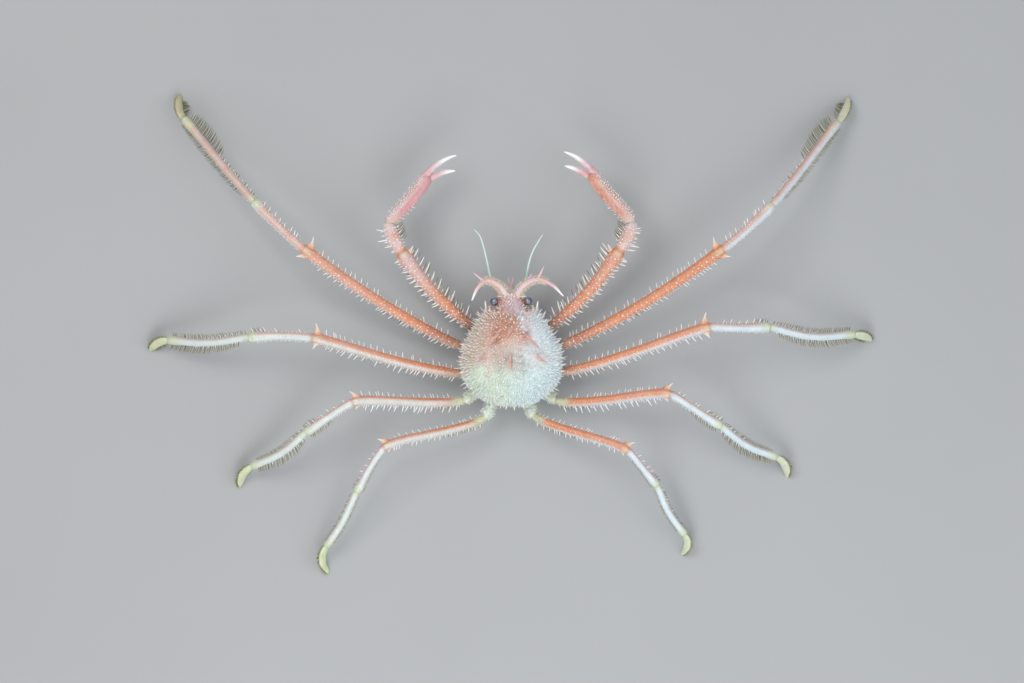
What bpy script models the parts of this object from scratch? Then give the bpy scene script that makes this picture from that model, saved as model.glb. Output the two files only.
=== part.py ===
"""Life-size spider crab (Pleistacantha), standing low on its eight walking legs.

Run it with: blender --background --python part.py
Metres, +Z up. +Y is where the crab looks, +X is the crab's right side.
Sizes below are millimetres, and MM turns them into metres. Plan positions
are measured from the middle of the carapace, which stands at BODY_AT.
Headings are degrees in plan, anticlockwise from +X.
"""

import math
import random
from collections import namedtuple

import bmesh
import bpy
from mathutils import Matrix, Vector
from mathutils.bvhtree import BVHTree

MM = 0.001
GAP = 0.3
SEED = 11
SMOOTH_UP_TO = 50
BODY_AT = Vector((0.36, -6.5, 0.0))

# The trunk in cross sections from back to front: y, half width, top z, bottom z.
TRUNK = (
    (-21.4, 2.6, 18.6, 14.2),
    (-20.6, 6.6, 20.6, 12.2),
    (-19.0, 10.4, 22.4, 10.6),
    (-16.6, 14.0, 24.2, 9.4),
    (-13.4, 16.9, 25.8, 8.6),
    (-9.6, 18.8, 27.0, 8.1),
    (-5.0, 19.5, 27.8, 8.0),
    (-0.6, 19.0, 28.0, 8.0),
    (3.4, 17.5, 27.8, 8.0),
    (7.0, 15.3, 27.2, 8.1),
    (10.4, 13.5, 26.0, 8.4),
    (13.4, 11.6, 24.6, 9.2),
    (15.8, 9.0, 23.2, 10.6),
    (17.6, 5.4, 22.2, 12.8),
    (20.0, 4.3, 21.6, 14.6),
    (22.0, 3.3, 21.2, 15.6),
    (22.8, 1.8, 20.4, 16.6),
)
TRUNK_SIDES = 24
WAIST_Z = 17.0
SEAM_Z = 13.0
ROOF_FULLNESS = 0.82

# Swollen regions of the back: x, y, radius, rise. Those off the midline come in pairs.
REGIONS = (
    (0.0, 6.5, 6.0, 2.4),
    (4.6, 12.0, 3.4, 1.0),
    (0.0, -7.6, 4.2, 2.0),
    (11.0, -4.6, 7.4, 1.6),
    (0.0, -17.4, 3.2, 1.0),
)

Limb = namedtuple("Limb", "root spans headings heights")
Run = namedtuple("Run", "at way")

# Each limb from its root on the trunk: plan lengths and headings of its articles,
# and the height of each joint. A leg's last height is the floor.
LEG_HEIGHTS = {
    "leg1": (9.8, 11.4, 27.0, 22.5, 6.6, 0.0),
    "leg2": (9.8, 11.4, 26.0, 21.5, 6.6, 0.0),
    "leg3": (9.8, 11.0, 24.0, 18.5, 6.4, 0.0),
    "leg4": (10.4, 11.0, 21.0, 15.5, 6.2, 0.0),
}
ARM_HEIGHTS = (9.8, 11.4, 20.0, 22.0, 18.0)
LIMBS = {
    "arm_l": Limb((-11.0, 6.8), (5.5, 40.5, 12.8, 24.3), (151.6, 133.5, 113.6, 50.1), ARM_HEIGHTS),
    "arm_r": Limb((11.0, 6.8), (5.1, 40.8, 12.3, 25.4), (30.6, 47.5, 65.7, 130.1), ARM_HEIGHTS),
    "leg1_l": Limb((-12.6, 0.0), (7.8, 73.4, 27.4, 44.2, 10.1), (168.1, 148.3, 136.5, 130.5, 100.0),
                   LEG_HEIGHTS["leg1"]),
    "leg1_r": Limb((12.6, 0.0), (7.8, 74.6, 26.4, 43.2, 11.0), (13.3, 30.9, 41.9, 51.2, 68.2),
                   LEG_HEIGHTS["leg1"]),
    "leg2_l": Limb((-12.2, -7.6), (8.2, 60.5, 25.4, 33.1, 8.7), (191.3, 166.7, 179.2, 182.1, 209.5),
                   LEG_HEIGHTS["leg2"]),
    "leg2_r": Limb((12.2, -7.6), (7.9, 61.4, 24.0, 34.6, 7.6), (352.7, 16.7, 0.0, 355.2, 339.4),
                   LEG_HEIGHTS["leg2"]),
    "leg3_l": Limb((-11.4, -14.4), (9.4, 44.0, 22.5, 26.0, 9.9), (216.4, 181.0, 212.4, 212.2, 239.6),
                   LEG_HEIGHTS["leg3"]),
    "leg3_r": Limb((11.4, -14.4), (8.4, 45.5, 23.9, 26.2, 9.3), (317.9, 3.0, 328.4, 330.7, 297.8),
                   LEG_HEIGHTS["leg3"]),
    "leg4_l": Limb((-7.0, -18.4), (9.0, 41.9, 21.0, 25.4, 11.0), (247.1, 196.8, 237.6, 240.9, 274.2),
                   LEG_HEIGHTS["leg4"]),
    "leg4_r": Limb((5.8, -18.4), (8.3, 39.9, 18.3, 23.0, 8.1), (292.0, 339.5, 309.9, 299.9, 261.8),
                   LEG_HEIGHTS["leg4"]),
}
LEG_ARTICLES = ("base", "merus", "carpus", "propodus", "dactylus")
ARM_ARTICLES = ("base", "merus", "carpus", "palm")
GIRTH = {"arm": 1.0, "leg1": 1.0, "leg2": 0.95, "leg3": 0.88, "leg4": 0.74}
BASE_GIRTH = {"arm": 1.0, "leg1": 1.0, "leg2": 1.0, "leg3": 1.0, "leg4": 1.1}

# How far the middle of each article bows to its front side, as a share of its length.
BOWS = {
    "arm": (0.0, 0.0, -0.04, 0.035),
    "leg1": (0.0, 0.0, 0.0, 0.0, 0.0),
    "leg2": (0.0, -0.012, 0.03, -0.035, 0.0),
    "leg3": (0.0, 0.0, 0.03, -0.035, 0.0),
    "leg4": (0.0, 0.0, 0.03, -0.03, 0.0),
}

# Radius of each article from its near end, 0, to its far end, 1.
PROFILES = {
    "base": ((0.0, 2.1), (0.5, 2.1), (0.85, 1.9), (1.0, 1.6)),
    "merus": ((0.0, 1.5), (0.05, 1.75), (0.3, 2.0), (0.65, 2.1), (0.9, 2.25), (0.97, 2.45), (1.0, 2.1)),
    "carpus": ((0.0, 1.15), (0.12, 1.35), (0.5, 1.6), (0.82, 2.0), (0.95, 2.0), (1.0, 1.6)),
    "propodus": ((0.0, 1.25), (0.06, 1.4), (0.5, 1.5), (0.85, 1.65), (0.96, 1.7), (1.0, 1.3)),
    "dactylus": ((0.0, 0.95), (0.15, 1.3), (0.42, 1.45), (0.68, 1.15), (0.88, 0.75), (1.0, 0.45)),
    "arm_merus": ((0.0, 1.6), (0.05, 2.0), (0.35, 2.3), (0.7, 2.6), (0.93, 2.9), (1.0, 2.3)),
    "arm_carpus": ((0.0, 1.8), (0.15, 2.4), (0.5, 2.95), (0.85, 2.7), (1.0, 2.0)),
    "palm": ((0.0, 1.7), (0.1, 2.35), (0.4, 2.85), (0.75, 2.85), (0.94, 2.6), (1.0, 2.35)),
}

# The fixed and the movable finger of each claw: offset from the palm's middle line to
# its front side, turn of the chord and hook of its ends in degrees, length, and radii.
Finger = namedtuple("Finger", "offset turn hook length profile")
FIXED_PROFILE = ((0.0, 1.3), (0.25, 1.2), (0.6, 0.9), (0.88, 0.5), (1.0, 0.3))
MOVABLE_PROFILE = ((0.0, 0.95), (0.25, 1.0), (0.6, 0.78), (0.88, 0.45), (1.0, 0.28))
FINGERS = {
    "arm_l": (Finger(-1.1, 16.0, 20.0, 14.6, FIXED_PROFILE),
              Finger(1.35, 30.0, 16.0, 10.4, MOVABLE_PROFILE)),
    "arm_r": (Finger(-1.1, 13.0, 20.0, 14.4, FIXED_PROFILE),
              Finger(1.35, 24.0, 14.0, 10.4, MOVABLE_PROFILE)),
}
FINGER_SINK = 1.6

# Width of an article across its bend, as a share of its depth, where it is not round.
THIN = {"dactylus": 0.62, "palm": 0.85}
FLEX_DROOP = 40.0
ANKLE_TURN = -0.1
RUN_MARKS = 48
TIP_HOOK = 24.0
TIP_EASE = 0.36
JOINT_EASE = 0.18

# Rows of spines on an article: angle from the front side towards the back of the
# article, count, longest, shortest, first place, last place.
SPINE_ROWS = {
    "merus": ((6, 13, 2.4, 1.3, 0.06, 0.9), (174, 13, 2.7, 1.4, 0.06, 0.9), (92, 5, 1.0, 0.8, 0.1, 0.85)),
    "carpus": ((20, 6, 1.6, 1.0, 0.2, 0.84), (165, 3, 1.1, 0.9, 0.3, 0.8)),
    "propodus": ((15, 5, 1.4, 1.0, 0.08, 0.6), (165, 5, 1.4, 1.0, 0.08, 0.6)),
    "arm_merus": ((4, 11, 3.9, 2.2, 0.08, 0.92), (176, 11, 3.0, 1.8, 0.08, 0.9),
                  (95, 5, 1.3, 1.1, 0.1, 0.85)),
    "arm_carpus": ((10, 3, 1.9, 1.4, 0.25, 0.8), (172, 4, 2.9, 1.6, 0.2, 0.85),
                   (90, 2, 1.3, 1.1, 0.3, 0.75)),
    "palm": ((8, 4, 1.5, 1.0, 0.08, 0.42), (172, 8, 1.4, 0.9, 0.06, 0.8), (100, 3, 1.0, 0.9, 0.1, 0.5)),
}
# The two large spines beside each knee, the front one first: angle, reach from the
# middle line, lean towards the limb's tip. They stand KNEE_BACK short of the joint.
KNEE_SPINES = {
    "arm": ((8, 5.8, 1.6), (172, 4.4, 2.6)),
    "leg1": ((8, 6.2, 2.6), (172, 4.1, 3.4)),
    "leg2": ((8, 6.5, 2.9), (172, 4.6, 1.9)),
    "leg3": ((8, 4.9, 4.0), (172, 3.6, 2.2)),
    "leg4": ((8, 5.0, 4.4), (172, 3.4, 2.0)),
}
KNEE_PROFILE = ((0.0, 1.7), (0.35, 1.2), (0.6, 0.6), (1.0, 0.12))
KNEE_BACK = 2.4
SPINE_RADIUS = 0.46
SPINE_SINK = 0.5
SPINE_LEAN = 0.28

# Long spines of the back: x, y of the root, x, y of the lean, length.
LONG_SPINES = (
    (-5.0, 6.4, -0.74, -0.60, 8.6),
    (5.4, 6.2, 0.70, -0.66, 9.2),
    (-0.4, 8.0, -0.30, -0.62, 4.8),
    (-0.6, -1.8, 0.0, -0.76, 6.6),
    (-9.8, -1.8, -0.66, -0.60, 6.2),
    (9.2, -1.8, 0.74, -0.54, 6.4),
)
# The line of a long spine, as rise and reach in shares of its length, and its radii.
LONG_SPINE_STEPS = ((0.3, 0.15), (0.42, 0.6), (0.34, 1.0))
LONG_SPINE_PROFILE = ((0.0, 1.0), (0.3, 0.7), (0.65, 0.42), (1.0, 0.1))
LONG_SPINE_RADIUS = 1.15
# Spines round the orbits and the hepatic lobes, from the midline outwards: x, y, z
# of the root, then where each points, and its length. The left ones mirror them.
ORBIT_SPINES = (
    ((9.0, 15.0, 17.4), (0.34, 0.9, 0.22), 4.9),
    ((11.4, 12.6, 16.8), (0.66, 0.72, 0.12), 3.8),
    ((7.2, 15.8, 20.0), (0.18, 0.8, 0.6), 2.9),
    ((3.2, 20.9, 20.2), (1.0, 0.2, 0.15), 3.0),
)
# Small spines of the back: how many, the middle and radius of the disc they lie in,
# and how far they keep from the long ones.
BACK_SPINES = 108
BACK_MIDDLE_Y = -2.2
BACK_RADIUS = 18.4
BACK_CLEARANCE = 2.4
BACK_RIM = 2.5
GOLDEN_ANGLE = 137.508
# Spines of the margin: how many a side, and the bearings they lie between.
MARGIN_SPINES = 17
MARGIN_ARC = (-86, 72)
TAIL_SPINES = ((-1.9, 3.2), (1.0, 3.4), (-5.2, 2.4), (4.6, 2.6))

Horn = namedtuple("Horn", "points twigs")

# Each rostral horn as points its middle line passes through, and its twigs:
# place along it, where the twig points, and its length.
HORNS = {
    "horn_l": Horn(
        ((-1.6, 20.6, 19.2), (-2.8, 23.0, 20.0), (-5.1, 25.8, 21.3), (-9.8, 27.8, 23.4), (-13.6, 24.6, 24.6),
         (-15.8, 19.8, 24.6)),
        ((0.65, (-0.82, 0.57, 0.2), 4.4), (0.38, (-0.3, 0.85, 0.4), 1.6), (0.46, (-0.95, -0.25, 0.1), 2.0))),
    "horn_r": Horn(
        ((1.6, 20.6, 19.2), (2.8, 23.0, 20.0), (5.6, 26.4, 21.4), (10.8, 28.2, 23.4), (16.2, 26.0, 24.6),
         (20.6, 21.6, 24.4)),
        ((0.585, (0.47, 0.88, 0.2), 4.6), (0.44, (0.39, 0.9, 0.3), 2.8), (0.42, (0.95, -0.3, 0.1), 2.4))),
}
HORN_PROFILE = ((0.0, 1.5), (0.12, 1.4), (0.3, 1.3), (0.48, 1.15), (0.64, 1.0), (0.8, 0.75),
                (0.92, 0.5), (1.0, 0.22))

FRONT_SPINE_ROOT = (0.0, 21.6, 17.6)
FRONT_SPINE_FORK = (-0.3, 26.2, 16.8)
FRONT_SPINE_TIPS = ((-1.2, 28.8, 17.0), (0.5, 28.8, 17.0))
FRONT_SPINE_RADII = (0.85, 0.55, 0.2)

EYE_RADIUS = 1.65
EYES = {"eye_l": (-6.8, 19.3, 18.8), "eye_r": (6.5, 19.5, 18.8)}
EYE_ROOT = (3.0, 18.4, 18.0)
STALK_RADIUS = 0.85

# Each antenna as points its middle line passes through.
ANTENNAE = {
    "antenna_l": ((-3.6, 19.6, 15.4), (-6.4, 24.8, 16.2), (-8.6, 29.8, 17.6), (-9.8, 35.4, 20.0),
                  (-11.1, 41.0, 22.8), (-12.6, 45.4, 25.2), (-14.8, 48.0, 26.8)),
    "antenna_r": ((3.6, 19.6, 15.4), (5.2, 25.0, 16.2), (6.0, 29.4, 17.6), (7.0, 35.0, 20.0),
                  (8.6, 39.6, 22.4), (10.4, 42.8, 24.2), (12.4, 46.0, 25.8)),
}
ANTENNA_PROFILE = ((0.0, 0.95), (0.1, 0.9), (0.22, 0.75), (0.26, 0.42), (0.45, 0.38), (0.62, 0.34),
                   (0.8, 0.3), (1.0, 0.2))

# The folded tail under the trunk: y, half width. It lies TAIL_THICK deep below the belly.
TAIL = ((-18.4, 4.4), (-15.4, 4.6), (-12.4, 4.0), (-9.2, 3.4), (-6.0, 2.9), (-2.8, 2.5), (0.6, 1.9),
        (2.2, 0.9))
TAIL_TOP = 7.6
TAIL_THICK = 1.5
MOUTH = ((6.2, 2.2), (8.0, 3.7), (12.0, 4.2), (15.4, 3.6), (18.0, 2.2))
MOUTH_TOP = 7.7
MOUTH_THICK = 1.3
PLATE_SHAPE = ((1.0, 0.0), (1.0, -0.45), (0.55, -1.0), (-0.55, -1.0), (-1.0, -0.45), (-1.0, 0.0))

SHELL = ((0.86, 0.62, 0.52, 1.0), 0.55)
LIMB = ((0.88, 0.55, 0.43, 1.0), 0.5)
TIP = ((0.84, 0.86, 0.70, 1.0), 0.5)
HORN = ((0.90, 0.68, 0.60, 1.0), 0.45)
EYE = ((0.06, 0.05, 0.06, 1.0), 0.12)
FEELER = ((0.74, 0.86, 0.80, 1.0), 0.4)
BELLY = ((0.88, 0.80, 0.66, 1.0), 0.55)


def clear_scene():
    for obj in list(bpy.data.objects):
        bpy.data.objects.remove(obj)


def new_collection(name):
    found = bpy.data.collections.new(name)
    bpy.context.scene.collection.children.link(found)
    return found


def material(name, look):
    found = bpy.data.materials.get(name)
    if found is None:
        found = bpy.data.materials.new(name)
        found.use_nodes = True
        shader = found.node_tree.nodes["Principled BSDF"]
        shader.inputs["Base Color"].default_value = look[0]
        shader.inputs["Roughness"].default_value = look[1]
        shader.inputs["Metallic"].default_value = 0.0
    return found


def mesh_object(name, bm, collection):
    """The bmesh, drawn in millimetres, as an object in metres."""
    bmesh.ops.recalc_face_normals(bm, faces=bm.faces)
    bmesh.ops.scale(bm, vec=Vector((MM, MM, MM)), verts=bm.verts)
    mesh = bpy.data.meshes.new(name)
    bm.to_mesh(mesh)
    bm.free()
    obj = bpy.data.objects.new(name, mesh)
    collection.objects.link(obj)
    return obj


def finish(obj, look_name, look):
    obj.data.materials.clear()
    obj.data.materials.append(material(look_name, look))
    obj.data.shade_smooth()
    obj.data.set_sharp_from_angle(angle=math.radians(SMOOTH_UP_TO))
    return obj


def loft(name, rings, collection):
    """A closed skin over rings of points, each with the same count, capped at both ends."""
    bm = bmesh.new()
    loops = [[bm.verts.new(point) for point in ring] for ring in rings]
    for near, far in zip(loops, loops[1:]):
        for i in range(len(near)):
            j = (i + 1) % len(near)
            bm.faces.new((near[i], near[j], far[j], far[i]))
    bm.faces.new(loops[0][::-1])
    bm.faces.new(loops[-1])
    return mesh_object(name, bm, collection)


def modifier_applied(obj, kind, **settings):
    """Adds one modifier, makes its result the object's mesh, and removes the modifier."""
    modifier = obj.modifiers.new(kind.title(), kind)
    for key, value in settings.items():
        setattr(modifier, key, value)
    bpy.context.view_layer.update()
    graph = bpy.context.evaluated_depsgraph_get()
    obj.data = bpy.data.meshes.new_from_object(obj.evaluated_get(graph))
    obj.modifiers.clear()


def box_volume(verts):
    spans = [max(vert.co[i] for vert in verts) - min(vert.co[i] for vert in verts) for i in range(3)]
    return math.prod(spans)


def keep_largest(obj):
    """Leaves only the closed surface that reaches furthest, so no scrap or sealed hollow stays."""
    bm = bmesh.new()
    bm.from_mesh(obj.data)
    left = set(bm.verts)
    shells = []
    while left:
        shell = {left.pop()}
        front = list(shell)
        while front:
            here = front.pop()
            beside = {edge.other_vert(here) for edge in here.link_edges} & left
            left -= beside
            shell |= beside
            front.extend(beside)
        shells.append(shell)

    shells.sort(key=box_volume)
    loose = [vert for shell in shells[:-1] for vert in shell]
    bmesh.ops.delete(bm, geom=loose, context="VERTS")
    bm.to_mesh(obj.data)
    bm.free()


def fuse(obj, pieces):
    """Joins the pieces to the object by one Boolean union, then removes them."""
    if not pieces.objects:
        bpy.data.collections.remove(pieces)
        return
    modifier_applied(obj, "BOOLEAN", operation="UNION", operand_type="COLLECTION",
                     collection=pieces, solver="MANIFOLD")
    for piece in list(pieces.objects):
        bpy.data.objects.remove(piece)
    bpy.data.collections.remove(pieces)
    keep_largest(obj)


def seat(obj, host):
    """Cuts away what reaches into the host, so the object ends a gap short of it."""
    modifier_applied(obj, "BOOLEAN", operation="DIFFERENCE", object=host, solver="MANIFOLD")
    keep_largest(obj)


def lookup(table, place):
    """Straight-line value of a table of (place, value) pairs."""
    for (a, low), (b, high) in zip(table, table[1:]):
        if place <= b:
            share = (place - a) / (b - a)
            return low + (high - low) * max(0.0, share)
    return table[-1][1]


def trunk_point(row, angle, grow=0.0):
    """A point of the trunk's skin: angle 0 is its right side and 90 degrees its top."""
    y, half_width, top, bottom = row
    c, s = math.cos(angle), math.sin(angle)
    if s >= 0:
        x = (half_width + grow) * math.copysign(abs(c) ** ROOF_FULLNESS, c)
        z = WAIST_Z + (top + grow - WAIST_Z) * s ** ROOF_FULLNESS
        for rx, ry, radius, rise in REGIONS:
            for cx in {rx, -rx}:
                near = ((x - cx) ** 2 + (y - ry) ** 2) / radius ** 2
                z += rise * s * math.exp(-near)
    else:
        x = (half_width + grow) * c
        z = WAIST_Z + (WAIST_Z - bottom + grow) * s
    return Vector((x, y, z)) + BODY_AT


def trunk(name, collection, grow=0.0):
    """The whole body form. grow makes it larger all round, in millimetres."""
    front, back = TRUNK[-1][0], TRUNK[0][0]
    rings = []
    for y, *rest in TRUNK:
        stretched = y + grow * (2 * (y - back) / (front - back) - 1)
        angles = [2 * math.pi * k / TRUNK_SIDES for k in range(TRUNK_SIDES)]
        rings.append([trunk_point((stretched, *rest), angle, grow) for angle in angles])
    return loft(name, rings, collection)


def keep_side(obj, z, above):
    """Cuts the object at height z and keeps the side above or below it, closed."""
    bm = bmesh.new()
    bm.from_mesh(obj.data)
    cut = bmesh.ops.bisect_plane(
        bm, geom=bm.verts[:] + bm.edges[:] + bm.faces[:], plane_co=(0, 0, z * MM),
        plane_no=(0, 0, 1), clear_inner=above, clear_outer=not above)
    rim = [edge for edge in cut["geom_cut"] if isinstance(edge, bmesh.types.BMEdge)]
    bmesh.ops.contextual_create(bm, geom=rim)
    bmesh.ops.recalc_face_normals(bm, faces=bm.faces)
    bm.to_mesh(obj.data)
    bm.free()


def spine(pieces, root, direction, length, radius=SPINE_RADIUS, sides=5):
    """A tapered spine whose root is sunk below the surface point it stands on."""
    direction = direction.normalized()
    bm = bmesh.new()
    whole = length + SPINE_SINK
    bmesh.ops.create_cone(bm, cap_ends=True, segments=sides, radius1=radius, radius2=0.0, depth=whole)
    bmesh.ops.remove_doubles(bm, verts=bm.verts, dist=0.001)
    middle = root + direction * (whole / 2 - SPINE_SINK)
    turn = direction.to_track_quat("Z", "X").to_matrix().to_4x4()
    bmesh.ops.transform(bm, matrix=Matrix.Translation(middle) @ turn, verts=bm.verts)
    return mesh_object("spine", bm, pieces)


def bezier(points, t):
    """A point of the curve with these control points, by repeated halving in proportion."""
    points = list(points)
    while len(points) > 1:
        points = [a.lerp(b, t) for a, b in zip(points, points[1:])]
    return points[0]


def bezier_run(points, sideways=Vector((0, 0, 0))):
    """The middle line with these control points, by share of its length.

    sideways moves its middle and leaves its ends and their directions as they are.
    """
    steps = [b - a for a, b in zip(points, points[1:])]
    marks = [bezier(points, k / RUN_MARKS) for k in range(RUN_MARKS + 1)]
    lengths = [0.0]
    for a, b in zip(marks, marks[1:]):
        lengths.append(lengths[-1] + (b - a).length)
    shares = [(length / lengths[-1], k / RUN_MARKS) for k, length in enumerate(lengths)]

    def at(place):
        t = lookup(shares, place)
        return bezier(points, t) + sideways * math.sin(math.pi * t) ** 2

    def way(place):
        t = lookup(shares, place)
        bend = sideways * math.pi * math.sin(2 * math.pi * t)
        return (bezier(steps, t) * len(steps) + bend).normalized()

    return Run(at, way)


def path_run(points):
    """The smooth middle line through these points, each an equal share of it from the next."""
    ends = [points[0] * 2 - points[1], *points, points[-1] * 2 - points[-2]]

    def span(t):
        place = min(max(t, 0.0), 1.0) * (len(points) - 1)
        first = min(int(place), len(points) - 2)
        a, b, c, d = ends[first:first + 4]
        return (b, b + (c - a) / 6, c - (d - b) / 6, c), place - first

    def way(t):
        controls, share = span(t)
        return bezier([q - p for p, q in zip(controls, controls[1:])], share).normalized()

    return Run(lambda t: bezier(*span(t)), way)


def side_and_up(direction, side_sign):
    """The article's front side and its back, square to its run."""
    front = direction.cross(Vector((0, 0, 1))).normalized() * side_sign
    up = front.cross(direction).normalized()
    return front, up if up.z > 0 else -up


def around(direction, side_sign, angle):
    front, up = side_and_up(direction, side_sign)
    return front * math.cos(math.radians(angle)) + up * math.sin(math.radians(angle))


def tube(name, run, profile, scale, side_sign, collection, sides=8, roll=0.0, thin=1.0, floor=False):
    """An article round its middle line, thin across its roll angle."""
    rings = []
    for place, radius in profile:
        centre = run.at(place)
        direction = run.way(place)
        ring = []
        for k in range(sides):
            angle = 360 * (k + 0.5) / sides
            deep = math.cos(math.radians(angle)) * radius * scale
            wide = math.sin(math.radians(angle)) * radius * scale * thin
            ring.append(centre + around(direction, side_sign, roll) * deep
                        + around(direction, side_sign, roll + 90) * wide)
        if floor and place == 1.0:
            ring = [p - direction * (p.z / direction.z) for p in ring]
        rings.append(ring)
    return loft(name, rings, collection)


def spine_row(pieces, run, profile, scale, side_sign, row, rng):
    """Spines along one side of an article, long and short by turns."""
    angle, count, longest, shortest, first, last = row
    for k in range(count):
        place = first + (last - first) * (k + rng.uniform(-0.2, 0.2) + 0.5) / count
        direction = run.way(place)
        out = around(direction, side_sign, angle + rng.uniform(-9, 9))
        root = run.at(place) + out * lookup(profile, place) * scale * 0.96
        size = (longest if k % 2 else shortest) * scale * rng.uniform(0.85, 1.12)
        radius = SPINE_RADIUS * (0.85 + 0.12 * size)
        spine(pieces, root, out + direction * SPINE_LEAN, size, min(radius, 0.62))


def joint_points(limb):
    """The limb's joints from its root to its tip."""
    x, y = limb.root
    points = [Vector((x, y, limb.heights[0])) + BODY_AT]
    for span, heading, height in zip(limb.spans, limb.headings, limb.heights[1:]):
        angle = math.radians(heading)
        last = points[-1]
        points.append(Vector((last.x + span * math.cos(angle), last.y + span * math.sin(angle), height)))
    return points


def flexed(chord, side_sign, roll, hook):
    """The chord turned by the hook angle towards the limb's bending side."""
    return chord * math.cos(hook) + around(chord, side_sign, roll) * math.sin(hook)


def article_runs(name, limb):
    """The middle line of each article. Two that meet share one direction at their joint."""
    joints = joint_points(limb)
    side_sign, roll = limb_sides(name)
    chords = [(b - a).normalized() for a, b in zip(joints, joints[1:])]
    ways = [chords[0]] + [(a + b).normalized() for a, b in zip(chords, chords[1:])] + [chords[-1]]
    if name.startswith("leg"):
        ways[-2] = chords[-2].lerp(chords[-1], ANKLE_TURN).normalized()
        ways[-1] = flexed(chords[-1], side_sign, roll, math.radians(TIP_HOOK))
    runs = []
    for k, chord in enumerate(chords):
        start = joints[k] + ways[k] * GAP / 2
        tip = name.startswith("leg") and k == len(chords) - 1
        end = joints[k + 1] if tip else joints[k + 1] - ways[k + 1] * GAP / 2
        length = (end - start).length
        ease = (TIP_EASE if tip else JOINT_EASE) * length
        front, _ = side_and_up(chord, side_sign)
        sideways = front * length * BOWS[name.split("_")[0]][k]
        runs.append(bezier_run((start, start + ways[k] * ease, end - ways[k + 1] * ease, end), sideways))
    return runs


def limb_sides(name):
    """The sign that turns a limb's run to its front side, and the angle it bends towards."""
    side_sign = 1 if name.endswith("_l") else -1
    bends_forward = name.startswith(("arm", "leg1"))
    return side_sign, -FLEX_DROOP if bends_forward else 180 + FLEX_DROOP


def knee_spines(pieces, run, kind, side_sign):
    """The two large hooked spines at the far end of a merus, broad at the root."""
    scale = GIRTH[kind]
    place = 1 - KNEE_BACK * scale / (run.at(1.0) - run.at(0.0)).length
    direction = run.way(place)
    for angle, reach, lean in KNEE_SPINES[kind]:
        out = around(direction, side_sign, angle)
        root = run.at(place) + out * 0.6
        tip = run.at(place) + (out * reach + direction * lean) * scale
        heel = root.lerp(tip, 0.6) - direction * lean * 0.2
        tube("knee_spine", bezier_run((root, heel, tip)), KNEE_PROFILE, scale, side_sign, pieces, sides=6)


def build_limb(name, limb, body, host, rng):
    """One limb as its own articles, each a node, from the trunk outwards."""
    kind = name.split("_")[0]
    side_sign, roll = limb_sides(name)
    scale = GIRTH[kind]
    articles = ARM_ARTICLES if kind == "arm" else LEG_ARTICLES
    for run, article in zip(article_runs(name, limb), articles):
        key = f"arm_{article}" if f"{kind}_{article}" in PROFILES else article
        profile = PROFILES[key]
        last = article == "dactylus"
        girth = BASE_GIRTH[kind] if article == "base" else scale
        obj = tube(f"{name}_{article}", run, profile, girth, side_sign, body,
                   sides=8, roll=roll if last else 0.0, thin=THIN.get(article, 1.0), floor=last)
        if article == "base":
            seat(obj, host)
        pieces = new_collection(f"{name}_{article}_spines")
        for row in SPINE_ROWS.get(key, ()):
            spine_row(pieces, run, profile, scale, side_sign, row, rng)
        if article == "merus":
            knee_spines(pieces, run, kind, side_sign)
        if article == "palm":
            fixed, movable = FINGERS[name]
            finger("fixed_finger", fixed, run, -FINGER_SINK, side_sign, pieces)
            moving = finger(f"{name}_finger", movable, run, GAP, side_sign, body)
            finish(moving, "tip", TIP)
        fuse(obj, pieces)
        look = ("tip", TIP) if last else ("limb", LIMB)
        finish(obj, *look)


def finger(name, shape, palm, start_gap, side_sign, collection):
    """One finger, from beside the end of the palm's middle line."""
    way = palm.way(1.0)
    front, _ = side_and_up(way, side_sign)
    base = palm.at(1.0) + front * shape.offset
    angles = [math.radians(shape.turn + bend) for bend in (-shape.hook, 0.0, shape.hook)]
    turned = [way * math.cos(angle) + front * math.sin(angle) for angle in angles]
    start = base + way * start_gap
    end = base + turned[1] * shape.length
    reach = (end - start).length * TIP_EASE
    run = bezier_run((start, start + turned[0] * reach, end - turned[2] * reach, end))
    return tube(name, run, shape.profile, 1.0, side_sign, collection, sides=7)


def skin_of(obj):
    """A tree that answers where a ray meets the object's skin, in millimetres."""
    points = [vert.co / MM for vert in obj.data.vertices]
    return BVHTree.FromPolygons(points, [tuple(face.vertices) for face in obj.data.polygons])


def back_places(count):
    """Places spread evenly over the back in plan, by the golden angle."""
    golden = math.radians(GOLDEN_ANGLE)
    for k in range(count):
        reach = math.sqrt((k + 0.5) / count)
        x = BACK_RADIUS * reach * math.cos(golden * k)
        y = BACK_MIDDLE_Y + BACK_RADIUS * reach * math.sin(golden * k)
        yield x, y


def clear_of_long_spines(x, y):
    return all(math.hypot(x - sx, y - sy) > BACK_CLEARANCE for sx, sy, *_ in LONG_SPINES)


def back_spines(pieces, skin, rng):
    """Small upright spines all over the back, and taller ones towards its edge."""
    for x, y in back_places(BACK_SPINES):
        hit, normal, _, _ = skin.ray_cast(Vector((x, y, 60)) + BODY_AT, Vector((0, 0, -1)))
        if hit is None or hit.z < SEAM_Z + BACK_RIM or not clear_of_long_spines(x, y):
            continue
        edge = 1 - abs(normal.z)
        spine(pieces, hit, normal + Vector((0, -0.2, 0)), rng.uniform(1.0, 1.4) + edge, 0.5)


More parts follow.
